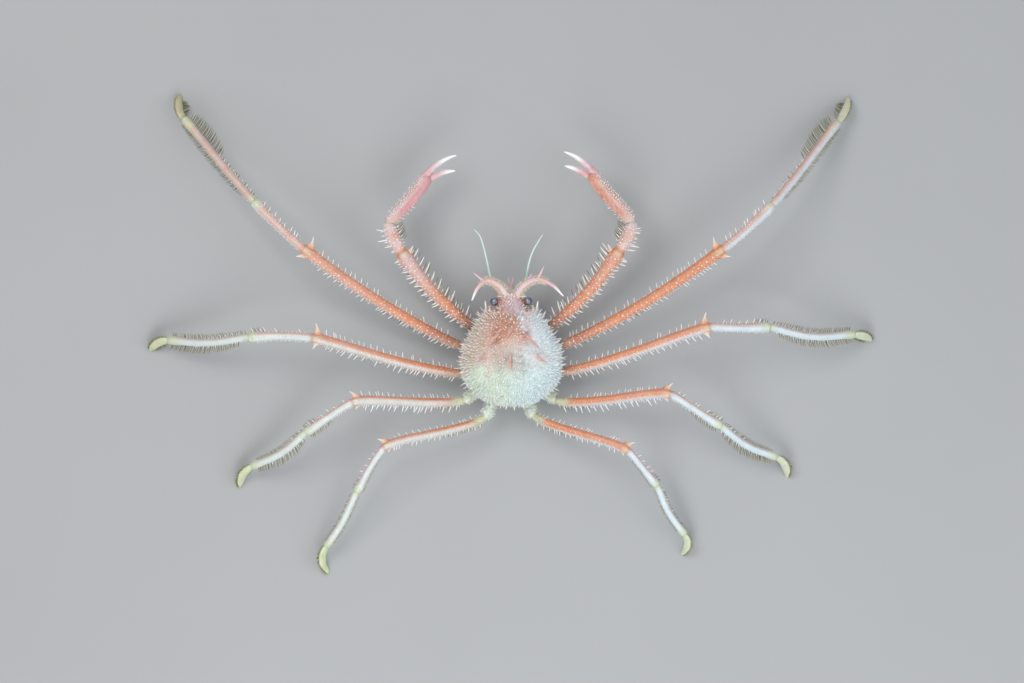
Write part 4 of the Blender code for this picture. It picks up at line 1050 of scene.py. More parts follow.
def shell_tint(points):
    """The carapace's colour: rusty in front, sandy on the left, bluish on the right, mint behind. The
    difference between the sandy left and the bluish right is painted light, warm from the left and cool from
    the right.
    """
    x, y, z = local(points)
    cloud = ripple(points, 7.0, 3)
    fine = ripple(points, 2.2, 4)
    # Painted light: the right side turns bluish white, as if lit by a cool lamp from the right, while the
    # left stays sandy, as if lit warm.
    right = step(-8.0, 11.0, x + 1.5 * cloud)
    tint = mix(mix(SAND, BLUSH, 0.65 + 0.4 * cloud), mix(ICE, WHITE, 0.45), right)
    flush = spot(x, y, -11.0, -3.5, 5.5, 5.5)
    flush = flush + 0.75 * spot(x, y, 11.0, -4.5, 4.5, 4.5)
    tint = mix(tint, BLUSH, 0.8 * flush + 0.15 * fine)
    rear = step(-3.5, -12.0, y + 1.5 * cloud - 2.0 * flush)
    mossy = mix(MINT, CREAM, 0.1 + 0.4 * fine + 0.25 * (1 - right))
    # On the right of the mint rear, too, the ice is painted cool light.
    tint = mix(tint, mix(mossy, ICE, right * 0.5), rear * 0.95)
    saddle = spot(x, y, -0.5, 1.0, 6.0, 6.5)
    tint = mix(tint, BLUSH, 0.6 * saddle + 0.3 * fine * saddle)
    # Grey worn patches over the middle of the back, and painted shade that darkens this up-facing middle by
    # up to a sixth so that it is no brighter than the flanks.
    worn_and_shade = spot(x, y, 0.5, -3.5, 8.5, 6.0, power=4)
    tint = mix(tint, WORN, worn_and_shade * (0.2 + 0.5 * fine)) * (1 - 0.16 * worn_and_shade)[..., None]
    middle = spot(x, y, -1.6, 9.4, 8.6, 6.8, power=3)
    ridges = spot(np.abs(x), y, 5.4, 5.2, 2.0, 2.6)
    rust = np.clip(0.95 * middle + 0.6 * ridges + 0.3 * fine * middle, 0, 0.95)
    # How far the rust pales to salmon and blush: unevenly and behind its middle, and on its right half, where
    # the paling is painted cool light from the right.
    paling = 0.25 + 0.4 * fine + 0.3 * step(2, 6, x) + 0.35 * step(8.0, 4.0, y) * step(4.5, 2.0, np.abs(x))
    tint = mix(tint, mix(RUST, mix(SALMON, BLUSH, 0.3), paling), rust)
    snout = step(13.0, 17.5, y) * step(6.0, 4.0, np.abs(x))
    tint = mix(tint, mix(MAUVE, SALMON, 0.6 + 0.35 * fine), snout * 0.95)
    # Painted highlight: a streak of lilac and ice glints to the right of the midline, over the rust.
    streak = bell(x + 0.36 * (y - 10.0), 5.0, 1.5) * step(4.5, 8.0, y) * step(21.0, 17.0, y)
    lilac_glint = mix(MAUVE, ICE, 0.25 + 0.5 * fine)
    tint = mix(tint, lilac_glint, streak * (0.65 + 0.4 * fine))
    # Painted highlight: bluish-white glints down the middle of the snout.
    crest_glint = bell(x, 0.0, 0.8) * snout * (0.55 + 0.3 * np.clip(fine, -1, 1))
    tint = mix(tint, mix(MAUVE, ICE, 0.4), crest_glint)
    orbit = spot(np.abs(x), y, 6.4, 16.5, 1.9, 1.8) * step(15, 19, z)
    return mix(tint, UMBER, orbit * 0.85)


def trunk_piece(above):
    """The trunk as a closed skin, cut at the seam, with the side above or below it kept."""
    share = (1 - np.cos(math.pi * np.linspace(0.004, 0.996, TRUNK_RINGS))) / 2
    y = (TRUNK[0][0] + (TRUNK[-1][0] - TRUNK[0][0]) * share)[:, None]
    angle = turns(TRUNK_SIDES)
    rings = trunk_points(y, angle)
    if above:
        tints = shell_tint(rings) * SKIN_SHADE
        rings = roof_points(y, angle)
    else:
        tints = belly_tint(rings)
        relief = -0.5 * belly_grooves(rings) + 0.08 * ripple(rings, 2.2, 7)
        rings = rings + trunk_out(y, angle) * relief[..., None]
    piece = Piece()
    add_sleeve(piece, rings, tints)
    return piece


def belly_grooves(points):
    """1 along the grooves between the plates of the underside, and 0 elsewhere."""
    x, y, z = local(points)
    lines = np.array((-15.5, -10.6, -3.6, 3.6, 8.6))
    slant = (y - 0.12 * np.abs(x) * np.sign(y))[..., None] - lines
    between = bell(slant, 0.0, 0.35).sum(-1)
    rim = bell(np.abs(x), 4.9, 0.3) * step(4, 2, y)
    return np.clip(between * step(3.0, 5.0, np.abs(x)) + rim, 0, 1) * step(12.5, 11.0, z)


def belly_tint(points):
    cloud = ripple(points, 5.0, 8)
    tint = mix(CREAM, BLUSH, 0.35 + 0.2 * cloud)
    return mix(tint, SAND, belly_grooves(points) * 0.6)


def cut_at(obj, z, above):
    """Cuts the object at height z and keeps the side above or below it, closed."""
    bm = bmesh.new()
    bm.from_mesh(obj.data)
    cut = bmesh.ops.bisect_plane(bm, geom=bm.verts[:] + bm.edges[:] + bm.faces[:], plane_co=(0, 0, z * MM),
                                 plane_no=(0, 0, 1), clear_inner=above, clear_outer=not above)
    rim = [edge for edge in cut["geom_cut"] if isinstance(edge, bmesh.types.BMEdge)]
    bmesh.ops.contextual_create(bm, geom=rim)
    bm.to_mesh(obj.data)
    bm.free()


def random_on_trunk(count, rng, y_from, y_to, angle_from, angle_to):
    """Random places on the trunk, as many to each square millimetre everywhere."""
    y = rng.uniform(y_from, y_to, count * 3)
    angle = rng.uniform(angle_from, angle_to, count * 3)
    area = np.linalg.norm(trunk_cross(y, angle), axis=-1)
    kept = rng.uniform(0, np.percentile(area, 98), len(y)) < area
    return y[kept][:count], angle[kept][:count]


def spaced(points, gap):
    """Indices of the points that keep at least this gap from the ones kept before."""
    taken = {}
    kept = []
    for index, point in enumerate(points):
        cell = tuple(int(v) for v in np.floor(point / gap))
        beside = itertools.product(*((v - 1, v, v + 1) for v in cell))
        rivals = [taken[c] for c in beside if c in taken]
        if all(np.sum((points[r] - point) ** 2) > gap * gap for r in rivals):
            taken[cell] = index
            kept.append(index)
    return np.array(kept)


def rusty(points):
    """1 in the middle of the rusty front of the carapace, 0 away from it."""
    x, y, _ = local(points)
    return spot(x, y, -0.8, 9.5, 8.4, 8.5, power=3)


def velvety(points):
    """1 over the middle of the back, where the coat is short and the granules show, 0 round its rim."""
    x, y, _ = local(points)
    return spot(x, y, -0.5, 3.0, 11.5, 10.5, power=4)


def combed(root, rng, wild):
    """The way in which the spinules and hairs at these roots are combed: outwards and to the rear."""
    x, y, _ = local(root)
    away = unit(np.stack((x, y - 6.0, np.zeros(len(x))), -1))
    swirl = np.stack((ripple(root, 6, 21), ripple(root, 6, 22), np.zeros(len(x))), -1)
    return away * 0.7 + swirl * 0.4 + np.array((0.0, -0.25, 0.0)) + rng.normal(0, wild, root.shape)


def back_spinules(piece, rng):
    """Small pale spines all over the carapace: round granules on its rusty front, points elsewhere."""
    y, angle = random_on_trunk(SPINULE_TRIES, rng, -21.6, 22.6, -14, 194)
    root = roof_points(y, angle)
    kept = spaced(root, SPINULE_GAP)
    y, angle, root = y[kept], angle[kept], root[kept]
    out = trunk_out(y, angle)
    round_ones = velvety(root) > rng.uniform(0.1, 0.7, len(root))
    round_ones = round_ones | (root[:, 1] - BODY_AT[1] > 14.5)
    base = mix(shell_tint(root), WHITE, 0.25)
    # The tips turn icy on the right: painted cool light from the right.
    tip = mix(mix(CREAM, WHITE, rng.uniform(0.3, 1, len(root))), ICE, step(-6.0, 10.0, root[:, 0]) * 0.6)
    size = rng.choice((0.14, 0.19, 0.28), len(root), p=(0.4, 0.35, 0.25))
    few = round_ones & (rng.uniform(0, 1, len(root)) < 0.85)
    way = out[few] + combed(root[few], rng, 0.25) * 0.8
    add_spikes(piece, root[few], way, size[few] * rng.uniform(1.6, 3.6, int(few.sum())), size[few],
               (base[few], tip[few]), sides=8, shape=GRANULE, sink=0.12)
    rest = ~round_ones
    total = int(rest.sum())
    edge = np.clip(1 - out[rest][:, 2], 0, 1)
    length = rng.uniform(0.6, 1.15, total) * (1 + 0.5 * edge) * (1 + 0.2 * step(-6, -18, y[rest]))
    way = out[rest] + combed(root[rest], rng, 0.25) * 0.45
    radius = rng.uniform(0.22, 0.38, total)
    add_spikes(piece, root[rest], way, length, radius, (base[rest], tip[rest]), shape=SPINULE)


def margin_spines(piece, rng):
    """Longer spines round the widest line of the carapace."""
    y, angle = random_on_trunk(MARGIN_TRIES, rng, -21.2, 15.0, -12, 40)
    side = rng.integers(0, 2, len(y))
    angle = np.where(side == 1, angle, 180 - angle)
    root = trunk_points(y, angle)
    kept = spaced(root, MARGIN_GAP)
    root, out = root[kept], trunk_out(y[kept], angle[kept])
    low = step(23.5, 17.0, root[:, 2])
    length = rng.uniform(1.2, 2.3, len(root)) + low * rng.uniform(0.2, 1.6, len(root))
    way = out + np.array((0, 0, 0.1)) + rng.normal(0, 0.12, (len(root), 3))
    base = mix(shell_tint(root), BLUSH, 0.4)
    lean = rng.normal(0, 0.08, (len(root), 3)) + np.array((0, 0.06, 0.04))
    radius = rng.uniform(0.24, 0.36, len(root))
    add_spikes(piece, root, way, length, radius, (base, WHITE), lean=lean, sides=8)


def long_spines(piece):
    """The six smooth salmon spines that rise from the back and lean over."""
    up = np.array((0.0, 0.0, 1.0))
    for x, y, lean_x, lean_y, length in LONG_SPINES:
        root = trunk_points(y, trunk_angle(x, y))
        foot = shell_tint(root[None])
        way = unit(np.array((lean_x, lean_y, 0.0)))
        steps = [up * length * rise + way * length * reach for rise, reach in LONG_SPINE_STEPS]
        run = bezier_run([root - up, *(root + move for move in steps)])
        spine = Article(run, LONG_SPINE_PROFILE, LONG_SPINE_RADIUS, 1)

        def tint_at(place):
            return mix(foot, mix(SPINE_PALE, SPINE_SALMON, step(0.2, 0.7, place)), step(0.1, 0.5, place))

        add_tube(piece, spine, 28, 14, tint_at)


def orbit_spines(piece):
    """Strong spines round the orbits and on the hepatic lobes, on both sides."""
    for (x, y, z), way, length, radius in ORBIT_SPINES:
        for side in (1, -1):
            root = np.array(((x * side, y, z),)) + BODY_AT
            aim = np.array(((way[0] * side, way[1], way[2]),))
            lean = np.array(((-0.08 * side, 0.04, 0.04),))
            start = root - unit(aim) * SPINE_DEEP
            tints = (SPINE_FOOT, WHITE)
            add_spikes(piece, start, aim, length + SPINE_DEEP, radius, tints, lean=lean, sides=10)


def tail_spines(piece):
    """The longer spines along the rear edge."""
    for x, length in TAIL_SPINES:
        y = -20.9 + 0.035 * x * x
        root = trunk_points(np.array((y,)), np.array((18.0 if x > 0 else 162.0,)))
        root[:, 0] = x + BODY_AT[0]
        root[:, 2] = 18.6
        aim = np.array(((x * 0.05, -1.0, 0.12),))
        add_spikes(piece, root, aim, length, 0.46, (CREAM, WHITE), sides=8)


def front_spine(piece):
    """The forked spine between the horns."""
    root, fork = [np.array(p) + BODY_AT for p in FRONT_SPINE]
    stem = Article(bezier_run([root, fork]), FRONT_PROFILE, 1.0, 1)
    add_tube(piece, stem, 12, 12, lambda place: mix(MAUVE, ROSE, 0.35 * place))
    for tip in FRONT_TIPS:
        end = np.array(tip) + BODY_AT
        start = fork + (root - fork) * 0.22
        bow = (end - start) * 0.5 + np.array(((end - start)[0] * 0.35, 0, 0.1))
        twig = Article(bezier_run([start, start + bow, end]), FRONT_TIP_PROFILE, 1.0, 1)
        add_tube(piece, twig, 12, 12, lambda place: mix(ROSE, BLUSH, place))


def horn_mounds(piece):
    """A swelling of the snout round the root of each horn."""
    for horn in HORNS.values():
        run = path_run(horn.points)
        way = run.way(np.array(0.0))
        middle = run.at(np.array(0.0)) - way * 1.3
        rings, _ = ball_rings(middle, way, 1.95, 2.3, 24, 32)
        rings = rings + unit(rings - middle) * 0.06 * ripple(rings, 1.2, 93)[..., None]
        add_sleeve(piece, rings, shell_tint(rings) * SKIN_SHADE)


def orbit_cups(piece, rng):
    """The raised rim of the cup behind each eye, open to the front, with small teeth."""
    for side in (1, -1):
        turn = np.radians(np.linspace(-215, 40, 60))
        wobble = 1 + 0.05 * np.sin(turn * 5)
        x = side * (CUP_AT[0] + CUP_RADIUS * wobble * np.cos(turn))
        y = CUP_AT[1] + CUP_RADIUS * wobble * np.sin(turn)
        z = np.maximum(trunk_points(y, trunk_angle(x, y))[:, 2] - 0.1, 18.4)
        line = np.stack((x, y, z), -1) + (BODY_AT[0], BODY_AT[1], 0)
        ways = unit(np.gradient(line, axis=0))
        rim = Article(Run(line, ways), CUP_PROFILE, 1.0, 1)
        place = np.linspace(0, 1, 70)
        rings, out = rim.skin(place[:, None], turns(16))
        rings = rings + out * 0.1 * ripple(rings, 0.9, 91)[..., None]
        tint = mix(shell_tint(rings), BLUSH, 0.5 + 0.3 * ripple(rings, 1.6, 92))
        add_sleeve(piece, rings, tint)
        count = CUP_TEETH
        place = (np.arange(count) + 0.5 + rng.uniform(-0.25, 0.25, count)) / count
        root, _ = rim.skin(place, np.full(count, 90.0))
        aim = np.array((side * 0.6, 0.8, 0.35)) + rng.normal(0, 0.2, root.shape)
        lean = np.array((side * 0.1, 0.1, -0.3)) * np.ones(root.shape)
        add_spikes(piece, root, aim, rng.uniform(0.7, 1.7, count), 0.17, (SAND, WHITE), lean=lean, sides=8)


def build_trunk(rng):
    shell = trunk_piece(above=True)
    obj = shell.build("carapace_shell", "shell", "shell", "carapace")
    cut_at(obj, SEAM_Z, above=True)
    belly = trunk_piece(above=False)
    obj = belly.build("sternum_plates", "belly", "belly", "sternum")
    cut_at(obj, SEAM_Z - GAP, above=False)
    spines = Piece()
    back_spinules(spines, rng)
    margin_spines(spines, rng)
    long_spines(spines)
    orbit_spines(spines)
    tail_spines(spines)
    front_spine(spines)
    horn_mounds(spines)
    orbit_cups(spines, rng)
    spines.build("carapace_spines", "shell", "shell")


def fuzz_patch(y, angle):
    """Where a place on the trunk lies in an unwrap of its skin."""
    across = (angle + 20) / 220
    along = (y - TRUNK[0][0]) / (TRUNK[-1][0] - TRUNK[0][0])
    return np.stack((across, along), -1)


def carapace_fuzz(name, rng):
    """Short pale tufts combed over the carapace, each like a soft brush stroke, thin on its rusty front."""
    y, angle = random_on_trunk(FUZZ_TUFTS, rng, -21.5, 22.0, -18, 198)
    root = roof_points(y, angle)
    front = rusty(root)
    kept = rng.uniform(0, 1, len(y)) > np.maximum(front * 1.15, step(14.0, 17.0, y) * 0.85)
    y, angle, root = y[kept], angle[kept], root[kept]
    out = trunk_out(y, angle)
    comb = combed(root, rng, 0.22)
    rear = step(-4.0, -14.0, y)
    edge = np.clip(1 - out[:, 2], 0, 1)
    velvet = velvety(root)
    length = rng.uniform(0.5, 0.85, len(y)) * (1 - 0.5 * velvet) * (1 + 0.4 * rear) * (1 + 0.3 * edge)
    length = length * (1 - 0.25 * step(6.0, 12.0, y))
    aim = unit(out * (0.42 + 0.6 * edge)[:, None] + comb)
    warm = mix(mix(CREAM, FROST, 0.8 * rear), BLUSH, rng.uniform(0.0, 0.9, len(y)) - rear)
    # Icy whites for the tufts on the right side: painted cool light from the right.
    cool_light_white = mix(WHITE, ICE, rng.uniform(0.4, 1, len(y)))
    right = step(-7.0, 9.0, root[:, 0])
    white = mix(mix(warm, WHITE, rng.uniform(0.1, 0.8, len(y))), cool_light_white, right * 0.9 + 0.1)
    skin = shell_tint(root) * 0.95
    bright = step(-0.5, 0.9, ripple(root, 1.8, 23) + rng.normal(0, 0.5, len(y)))
    # Painted light: the right flank, which slopes away from the key light, gets whiter tufts through its
    # share of white.
    share = 0.15 + 0.25 * right + 0.85 * bright
    tip = mix(skin, white, share * (1 - 0.4 * velvet))
    skin = mix(skin, white, 0.35 * bright * (1 - 0.6 * velvet))
    table = np.concatenate((root, out, aim, comb, skin, tip, fuzz_patch(y, angle), length[:, None]), axis=1)
    table = np.repeat(table, TUFT_HAIRS, 0)
    root, out, aim, comb, skin, tip, patch, length = np.split(table, (3, 6, 9, 12, 15, 18, 20), axis=1)
    spread = rng.normal(0, TUFT_SPREAD, root.shape)
    lean = -spread * 0.8 + comb * 0.18 + rng.normal(0, 0.05, root.shape)
    piece = Piece()
    length = length[:, 0] * rng.uniform(0.8, 1.1, len(root))
    radius = rng.uniform(0.06, 0.09, len(root))
    soft = out * 0.6 + SKYWARD
    add_hairs(piece, root + spread, aim + spread, length, radius, (skin, tip), lean, patch, soft)
    piece.build(name, "fuzz", "shell", with_patches=True)


def joint_points(limb):
    """The limb's joints from its root to its tip."""
    points = [np.array((*limb.root, limb.heights[0])) + BODY_AT]
    for span, heading, height in zip(limb.spans, limb.headings, limb.heights[1:]):
        angle = math.radians(heading)
        x, y, _ = points[-1]
        points.append(np.array((x + span * math.cos(angle), y + span * math.sin(angle), height)))
    return points


def limb_sides(name):
    """The sign that turns a limb's run to its front side, and the angle it bends towards."""
    side = 1 if name.endswith("_l") else -1
    bends_forward = name.startswith(("arm", "leg1"))
    return side, -FLEX_DROOP if bends_forward else 180 + FLEX_DROOP


def flexed(chord, side, roll, hook):
    """The chord turned by the hook angle towards the limb's bending side."""
    front, up = front_and_up(chord, side)
    bend = front * math.cos(math.radians(roll)) + up * math.sin(math.radians(roll))
    return chord * math.cos(hook) + bend * math.sin(hook)


def limb_runs(name, limb):
    """The middle line of each article. Two that meet share one direction at their joint."""
    joints = joint_points(limb)
    side, roll = limb_sides(name)
    chords = [unit(b - a) for a, b in zip(joints, joints[1:])]
    ways = [chords[0]] + [unit(a + b) for a, b in zip(chords, chords[1:])] + [chords[-1]]
    if name.startswith("leg"):
        ways[-2] = unit(chords[-2] + (chords[-1] - chords[-2]) * ANKLE_TURN)
        ways[-1] = flexed(chords[-1], side, roll, math.radians(TIP_HOOK))
    runs = []
    for k, chord in enumerate(chords):
        start = joints[k] + ways[k] * GAP / 2
        tip = name.startswith("leg") and k == len(chords) - 1
        end = joints[k + 1] if tip else joints[k + 1] - ways[k + 1] * GAP / 2
        length = np.linalg.norm(end - start)
        palm = name.startswith("arm") and k == len(chords) - 1
        ease = (TIP_EASE if tip else PALM_EASE if palm else JOINT_EASE) * length
        front, _ = front_and_up(chord, side)
        sideways = front * length * limb.bows[k]
        runs.append(bezier_run([start, start + ways[k] * ease, end - ways[k + 1] * ease, end], sideways))
    return runs


def limb_articles(name):
    """The articles of a limb by name, from the trunk outwards."""
    kind = name.split("_")[0]
    side, roll = limb_sides(name)
    names = ARM_ARTICLES if kind == "arm" else LEG_ARTICLES
    found = {}
    for article, girth, run in zip(names, GIRTH[kind], limb_runs(name, LIMBS[name])):
        key = shape_key(kind, article)
        found[article] = Article(run, PROFILES[key], girth, side, roll if article == "dactylus" else 0.0,
                                 THIN.get(article, 1.0))
    return found


def shape_key(kind, article):
    joined = f"{kind}_{article}"
    return joined if joined in PROFILES else article


def limb_tint(name, article, place, angle, points):
    """The colour of a limb's skin at these places and angles, with its whitest parts held back."""
    tint = bare_limb_tint(name, article, place, angle, points)
    return tint * (0.95 - 0.1 * step(0.2, 0.7, tint.min(-1)))[..., None]


def bare_limb_tint(name, article, place, angle, points):
    """The colour of each article, before the whitest parts are held back."""
    place, angle = np.broadcast_arrays(place, angle)
    cloud = ripple(points, 5.0, 31)
    fine = ripple(points, 1.6, 32)
    turn = (angle + 90) % 360 - 90
    kind, right = name.split("_")[0], name.endswith("_r")
    # Painted light: the pale of the right limbs is icy, as if lit by a cool lamp from the right; the left
    # limbs' pale is pearl.
    pale = mix(ICE, MAUVE, 0.15 if kind == "leg1" else 0.0) if right else mix(PEARL, FROST, 0.35)
    pale = mix(pale, WHITE, 0.15 + 0.2 * fine)
    if article == "base":
        return base_tint(kind, right, pale, cloud, fine)
    if article == "merus":
        return merus_tint(name, kind, right, place, turn, pale, cloud, fine)
    if article == "carpus":
        return carpus_tint(kind, right, place, turn, pale, cloud, fine)
    if article == "propodus":
        return propodus_tint(kind, right, place, turn, pale, cloud, fine)
    if article == "dactylus":
        return dactylus_tint(kind, right, place, turn, cloud, fine)
    return palm_tint(right, place, turn, cloud, fine)


def base_tint(kind, right, pale, cloud, fine):
    """Sandy on the front left, bluish on the front right, and cream to mint on the rear legs."""
    if kind in ("leg3", "leg4"):
        return mix(mix(CREAM, FROST, 0.6 + 0.4 * cloud), MOSS, 0.15 + 0.4 * fine)
    # The right bases take more of that pale, so their blue there is painted cool light.
    sandy = {"arm": 0.95, "leg1": 0.75, "leg2": 0.45}[kind] - (0.5 if right else 0.0)
    return mix(pale, SAND, sandy + 0.25 * cloud + 0.1 * fine)


def rear_band(turn, low, high):
    """0 up the front and back, 1 down the rear and under side of a limb."""
    return np.maximum(step(low, high, turn), step(-20, -60, turn))


def merus_tint(name, kind, right, place, turn, pale, cloud, fine):
    """Orange with a pale band down the rear side, darkest near the trunk, where painted shade stands for the
    carapace's shadow.
    """
    orange = {"leg1": 1.0, "arm": 0.75}.get(kind, 0.55) if right else 0.25
    far = mix(SALMON, ORANGE, orange + 0.2 * cloud)
    # Painted shade: near the trunk the merus darkens to rust, where the carapace shades it.
    dark = {"arm": 1.0, "leg1": 0.95, "leg2": 0.25}.get(kind, 0.0) * step(0.34, 0.08, place + 0.04 * cloud)
    tint = mix(mix(ORANGE, RUST, dark), far, step(0.25, 0.75, place + 0.1 * cloud + 0.05 * fine))
    if kind == "arm":
        flush = step(0.35, 0.9, place) * (0.15 if right else 0.6) + 0.12 * fine
        tint = mix(tint, mix(BLUSH, MAUVE, 0.5 + 0.3 * cloud), flush)
    low, high = PALE_BANDS[name]
    band = mix(BLUSH, pale, {"arm": 0.1, "leg1": 0.1, "leg2": 0.6}.get(kind, 0.75))
    shares = rear_band(turn, low, high) * (0.7 if kind in ("arm", "leg1") else 0.9) * step(-0.3, 0.4, place)
    tint = mix(tint, band, shares + 0.06 * fine)
    if kind in ("leg3", "leg4"):
        tint = mix(tint, mix(CREAM, MOSS, 0.4 + 0.3 * fine), step(0.17, 0.06, place) * 0.9)
    else:
        tint = mix(tint, SAND, step(0.08, 0.0, place) * 0.5)
    corner = bell(turn, 34, 18) + bell(turn, 146, 18)
    tint = mix(tint, KNEE_ORANGE, np.clip(corner, 0, 1) * step(0.94, 0.98, place) * 0.6)
    return mix(tint, CREAM, bell(turn, 90, 30) * step(0.93, 0.99, place) * 0.45)


def carpus_tint(kind, right, place, turn, pale, cloud, fine):
    """Pink along the front, nearly white down the rear side, with a creamy far end."""
    if kind == "arm":
        tint = mix(SALMON, BLUSH, 0.5 + 0.35 * cloud + 0.1 * fine)
        tint = mix(tint, mix(MAUVE, WHITE, 0.3), np.clip(0.7 * fine, 0, 0.6))
        tint = mix(tint, ORANGE, step(0.22, 0.05, place) * 0.8)
        return mix(tint, pale, rear_band(turn, 130, 170) * 0.5 + step(0.8, 1.0, place) * 0.35)
    pink = {"leg1": 0.35, "leg2": 0.1, "leg3": 0.3, "leg4": 0.45}[kind]
    tint = mix(BLUSH, SALMON, pink * step(1.0, 0.2, place) + 0.15 * cloud + 0.1 * fine)
    if kind == "leg4":
        lines = np.cos(np.radians(turn * 11)) * step(0.05, 0.2, place) * step(0.95, 0.7, place)
        tint = mix(mix(tint, MAUVE, 0.6), ROSE, np.clip(lines, 0, 1) * 0.35)
    low, high = {"leg1": (75, 120) if right else (125, 170), "leg2": (52, 92)}.get(kind, (42, 82))
    tint = mix(tint, pale, rear_band(turn, low, high) * 0.9)
    tint = mix(tint, ORANGE, step(0.07, 0.02, place) * 0.55 * (0.6 + 0.4 * np.sin(np.radians(turn * 2)) ** 2))
    green_end = 0.4 if kind == "leg1" and right else 0.8
    return mix(tint, mix(JOINT, FROST, 0.3 + 0.3 * fine), step(0.84, 0.93, place) * green_end)


def propodus_tint(kind, right, place, turn, pale, cloud, fine):
    """Nearly white with a peach front side, creamy at both ends."""
    green_ends = 0.3 if kind == "leg1" and right else 0.75
    peach = mix(BLUSH, SALMON, (0.9 if kind == "leg1" and right else 0.25) + 0.25 * cloud)
    if kind == "leg1":
        pale = mix(pale, DUSK, (0.1 if right else 0.9) + 0.2 * fine)
        stripe = bell(turn, 40 if right else 86, 50) * (0.95 if right else 0.75)
    else:
        stripe = bell(turn, 34, 32, power=4) * {"leg2": 0.75, "leg3": 0.65, "leg4": 0.4}[kind]
        stripe = stripe + 0.15 * bell(turn, 108, 8)
    tint = mix(pale, peach, stripe * (1 + 0.12 * fine))
    ends = np.maximum(step(0.1, 0.0, place), step(0.78, 0.97, place))
    return mix(tint, mix(JOINT, MOSS, 0.3 + 0.3 * fine), ends * green_ends)


def dactylus_tint(kind, right, place, turn, cloud, fine):
    """Yellow green with a pinkish streak down the middle."""
    tint = mix(LEAF, CREAM, 0.35 + 0.35 * cloud + 0.1 * fine)
    # Frostier on the right: painted cool light from the right.
    tint = mix(tint, FROST, 0.35 if right else 0.1)
    if kind == "leg1":
        tint = mix(tint, KHAKI, 0.3 if right else 0.75)
    stripe = bell(turn, 100, 30) * step(0.02, 0.16, place) * step(0.9, 0.6, place)
    tint = mix(tint, mix(BLUSH, SAND, 0.5 + 0.3 * fine), stripe * (0.6 if kind == "leg1" else 0.4))
    return mix(tint, TIP_YELLOW, step(0.86, 1.0, place) * 0.5)


def palm_tint(right, place, turn, cloud, fine):
    """A stripe along the middle, rosy on the left claw and orange on the right, pale to both sides."""
    tint = mix(SALMON, BLUSH, 0.5 + 0.3 * cloud + 0.1 * fine + step(0.25, 0.0, place) * 0.5)
    stripe = bell(turn, 66, 40) * step(0.04, 0.3, place)
    tint = mix(tint, PALM_ORANGE if right else ROSE, stripe * (0.64 + 0.35 * fine))
    sheen = bell(turn, 100, 9) * step(0.1, 0.3, place) * step(0.9, 0.6, place)
    tint = mix(tint, mix(MAUVE, WHITE, 0.4), sheen * 0.5)
    return mix(tint, BLUSH if right else MAUVE, rear_band(turn, 125, 160) * 0.7)


def end_rows(rows, length, radius, at):
    """Places and shares of the rings that close one end of an article."""
    places = at + np.array([offset for offset, _ in rows]) * radius / length
    return places, np.array([share for _, share in rows])


def add_article(piece, article, tint_of, near=NECK, far=CUP, sides=LIMB_SIDES, relief=0.05):
    """Adds an article's skin. tint_of gives its colours from places, angles and points."""
    near_radius, far_radius = article.radius(0.0), article.radius(1.0)
    near_places, near_shares = end_rows(near, article.length, near_radius, 0.0)
    far_places, far_shares = end_rows(far, article.length, far_radius, 1.0)
    count = max(int(article.length / LIMB_STEP), 10)
    inside = np.linspace(near_places[-1], far_places[0], count)[1:-1]
    places = np.concatenate((near_places, inside, far_places))[:, None]
    shares = np.concatenate((near_shares, np.ones(len(inside)), far_shares))[:, None]
    angles = 360 * (np.arange(sides) + 0.5) / sides
    rings, out = article.skin(places, angles, shares)
    waves = ripple(rings, 2.4, 41) + 0.6 * ripple(rings, 0.9, 42)
    rings = rings + out * (relief * waves * np.clip(shares, 0, 1))[..., None]
    rings[..., 2] = np.maximum(rings[..., 2], 0.0)
    add_sleeve(piece, rings, tint_of(places, angles, rings))


def add_membrane(piece, article, tint_of):
    """The soft skin that closes the cup at the far end of an article."""
    end = np.array(1.0)
    way = article.run.way(end)
    radius = article.radius(end) * 0.83
    rings, _ = ball_rings(article.run.at(end) - way * 0.16 * radius, way, radius, radius, 14, 20)
    skin = tint_of(np.full(rings.shape[:2], 0.97), np.full(rings.shape[:2], 90.0), rings)
    add_sleeve(piece, rings, mix(skin, CREAM, 0.4) * 0.9)


def add_spine_row(piece, article, row, scale, tint_of, rng):
    """Spines along one side of an article, long and short ones mixed."""
    count = int(article.length * (row.last - row.first) / (row.spacing * scale ** 0.5))
    if count < 1:
        return
    k = np.arange(count)
    place = row.first + (row.last - row.first) * (k + 0.5 + rng.uniform(-0.3, 0.3, count)) / count
    angle = row.angle + rng.uniform(-11, 11, count)
    root, out = article.skin(place, angle)
    way = article.run.way(place)
    is_long = (k % 2 == 1) ^ (rng.uniform(0, 1, count) < 0.15)
    length = np.where(is_long, row.longest, row.shortest) * scale * rng.uniform(0.75, 1.15, count)
    radius = row.radius * (0.7 + 0.15 * length)
    base = mix(tint_of(place, angle, root), WHITE, 0.3)
    aim = out + way * 0.3 + rng.normal(0, 0.08, (count, 3))
    lean = way * 0.12 + rng.normal(0, 0.04, (count, 3))
    add_spikes(piece, root, aim, length, radius, (base, WHITE), lean=lean, sides=8)


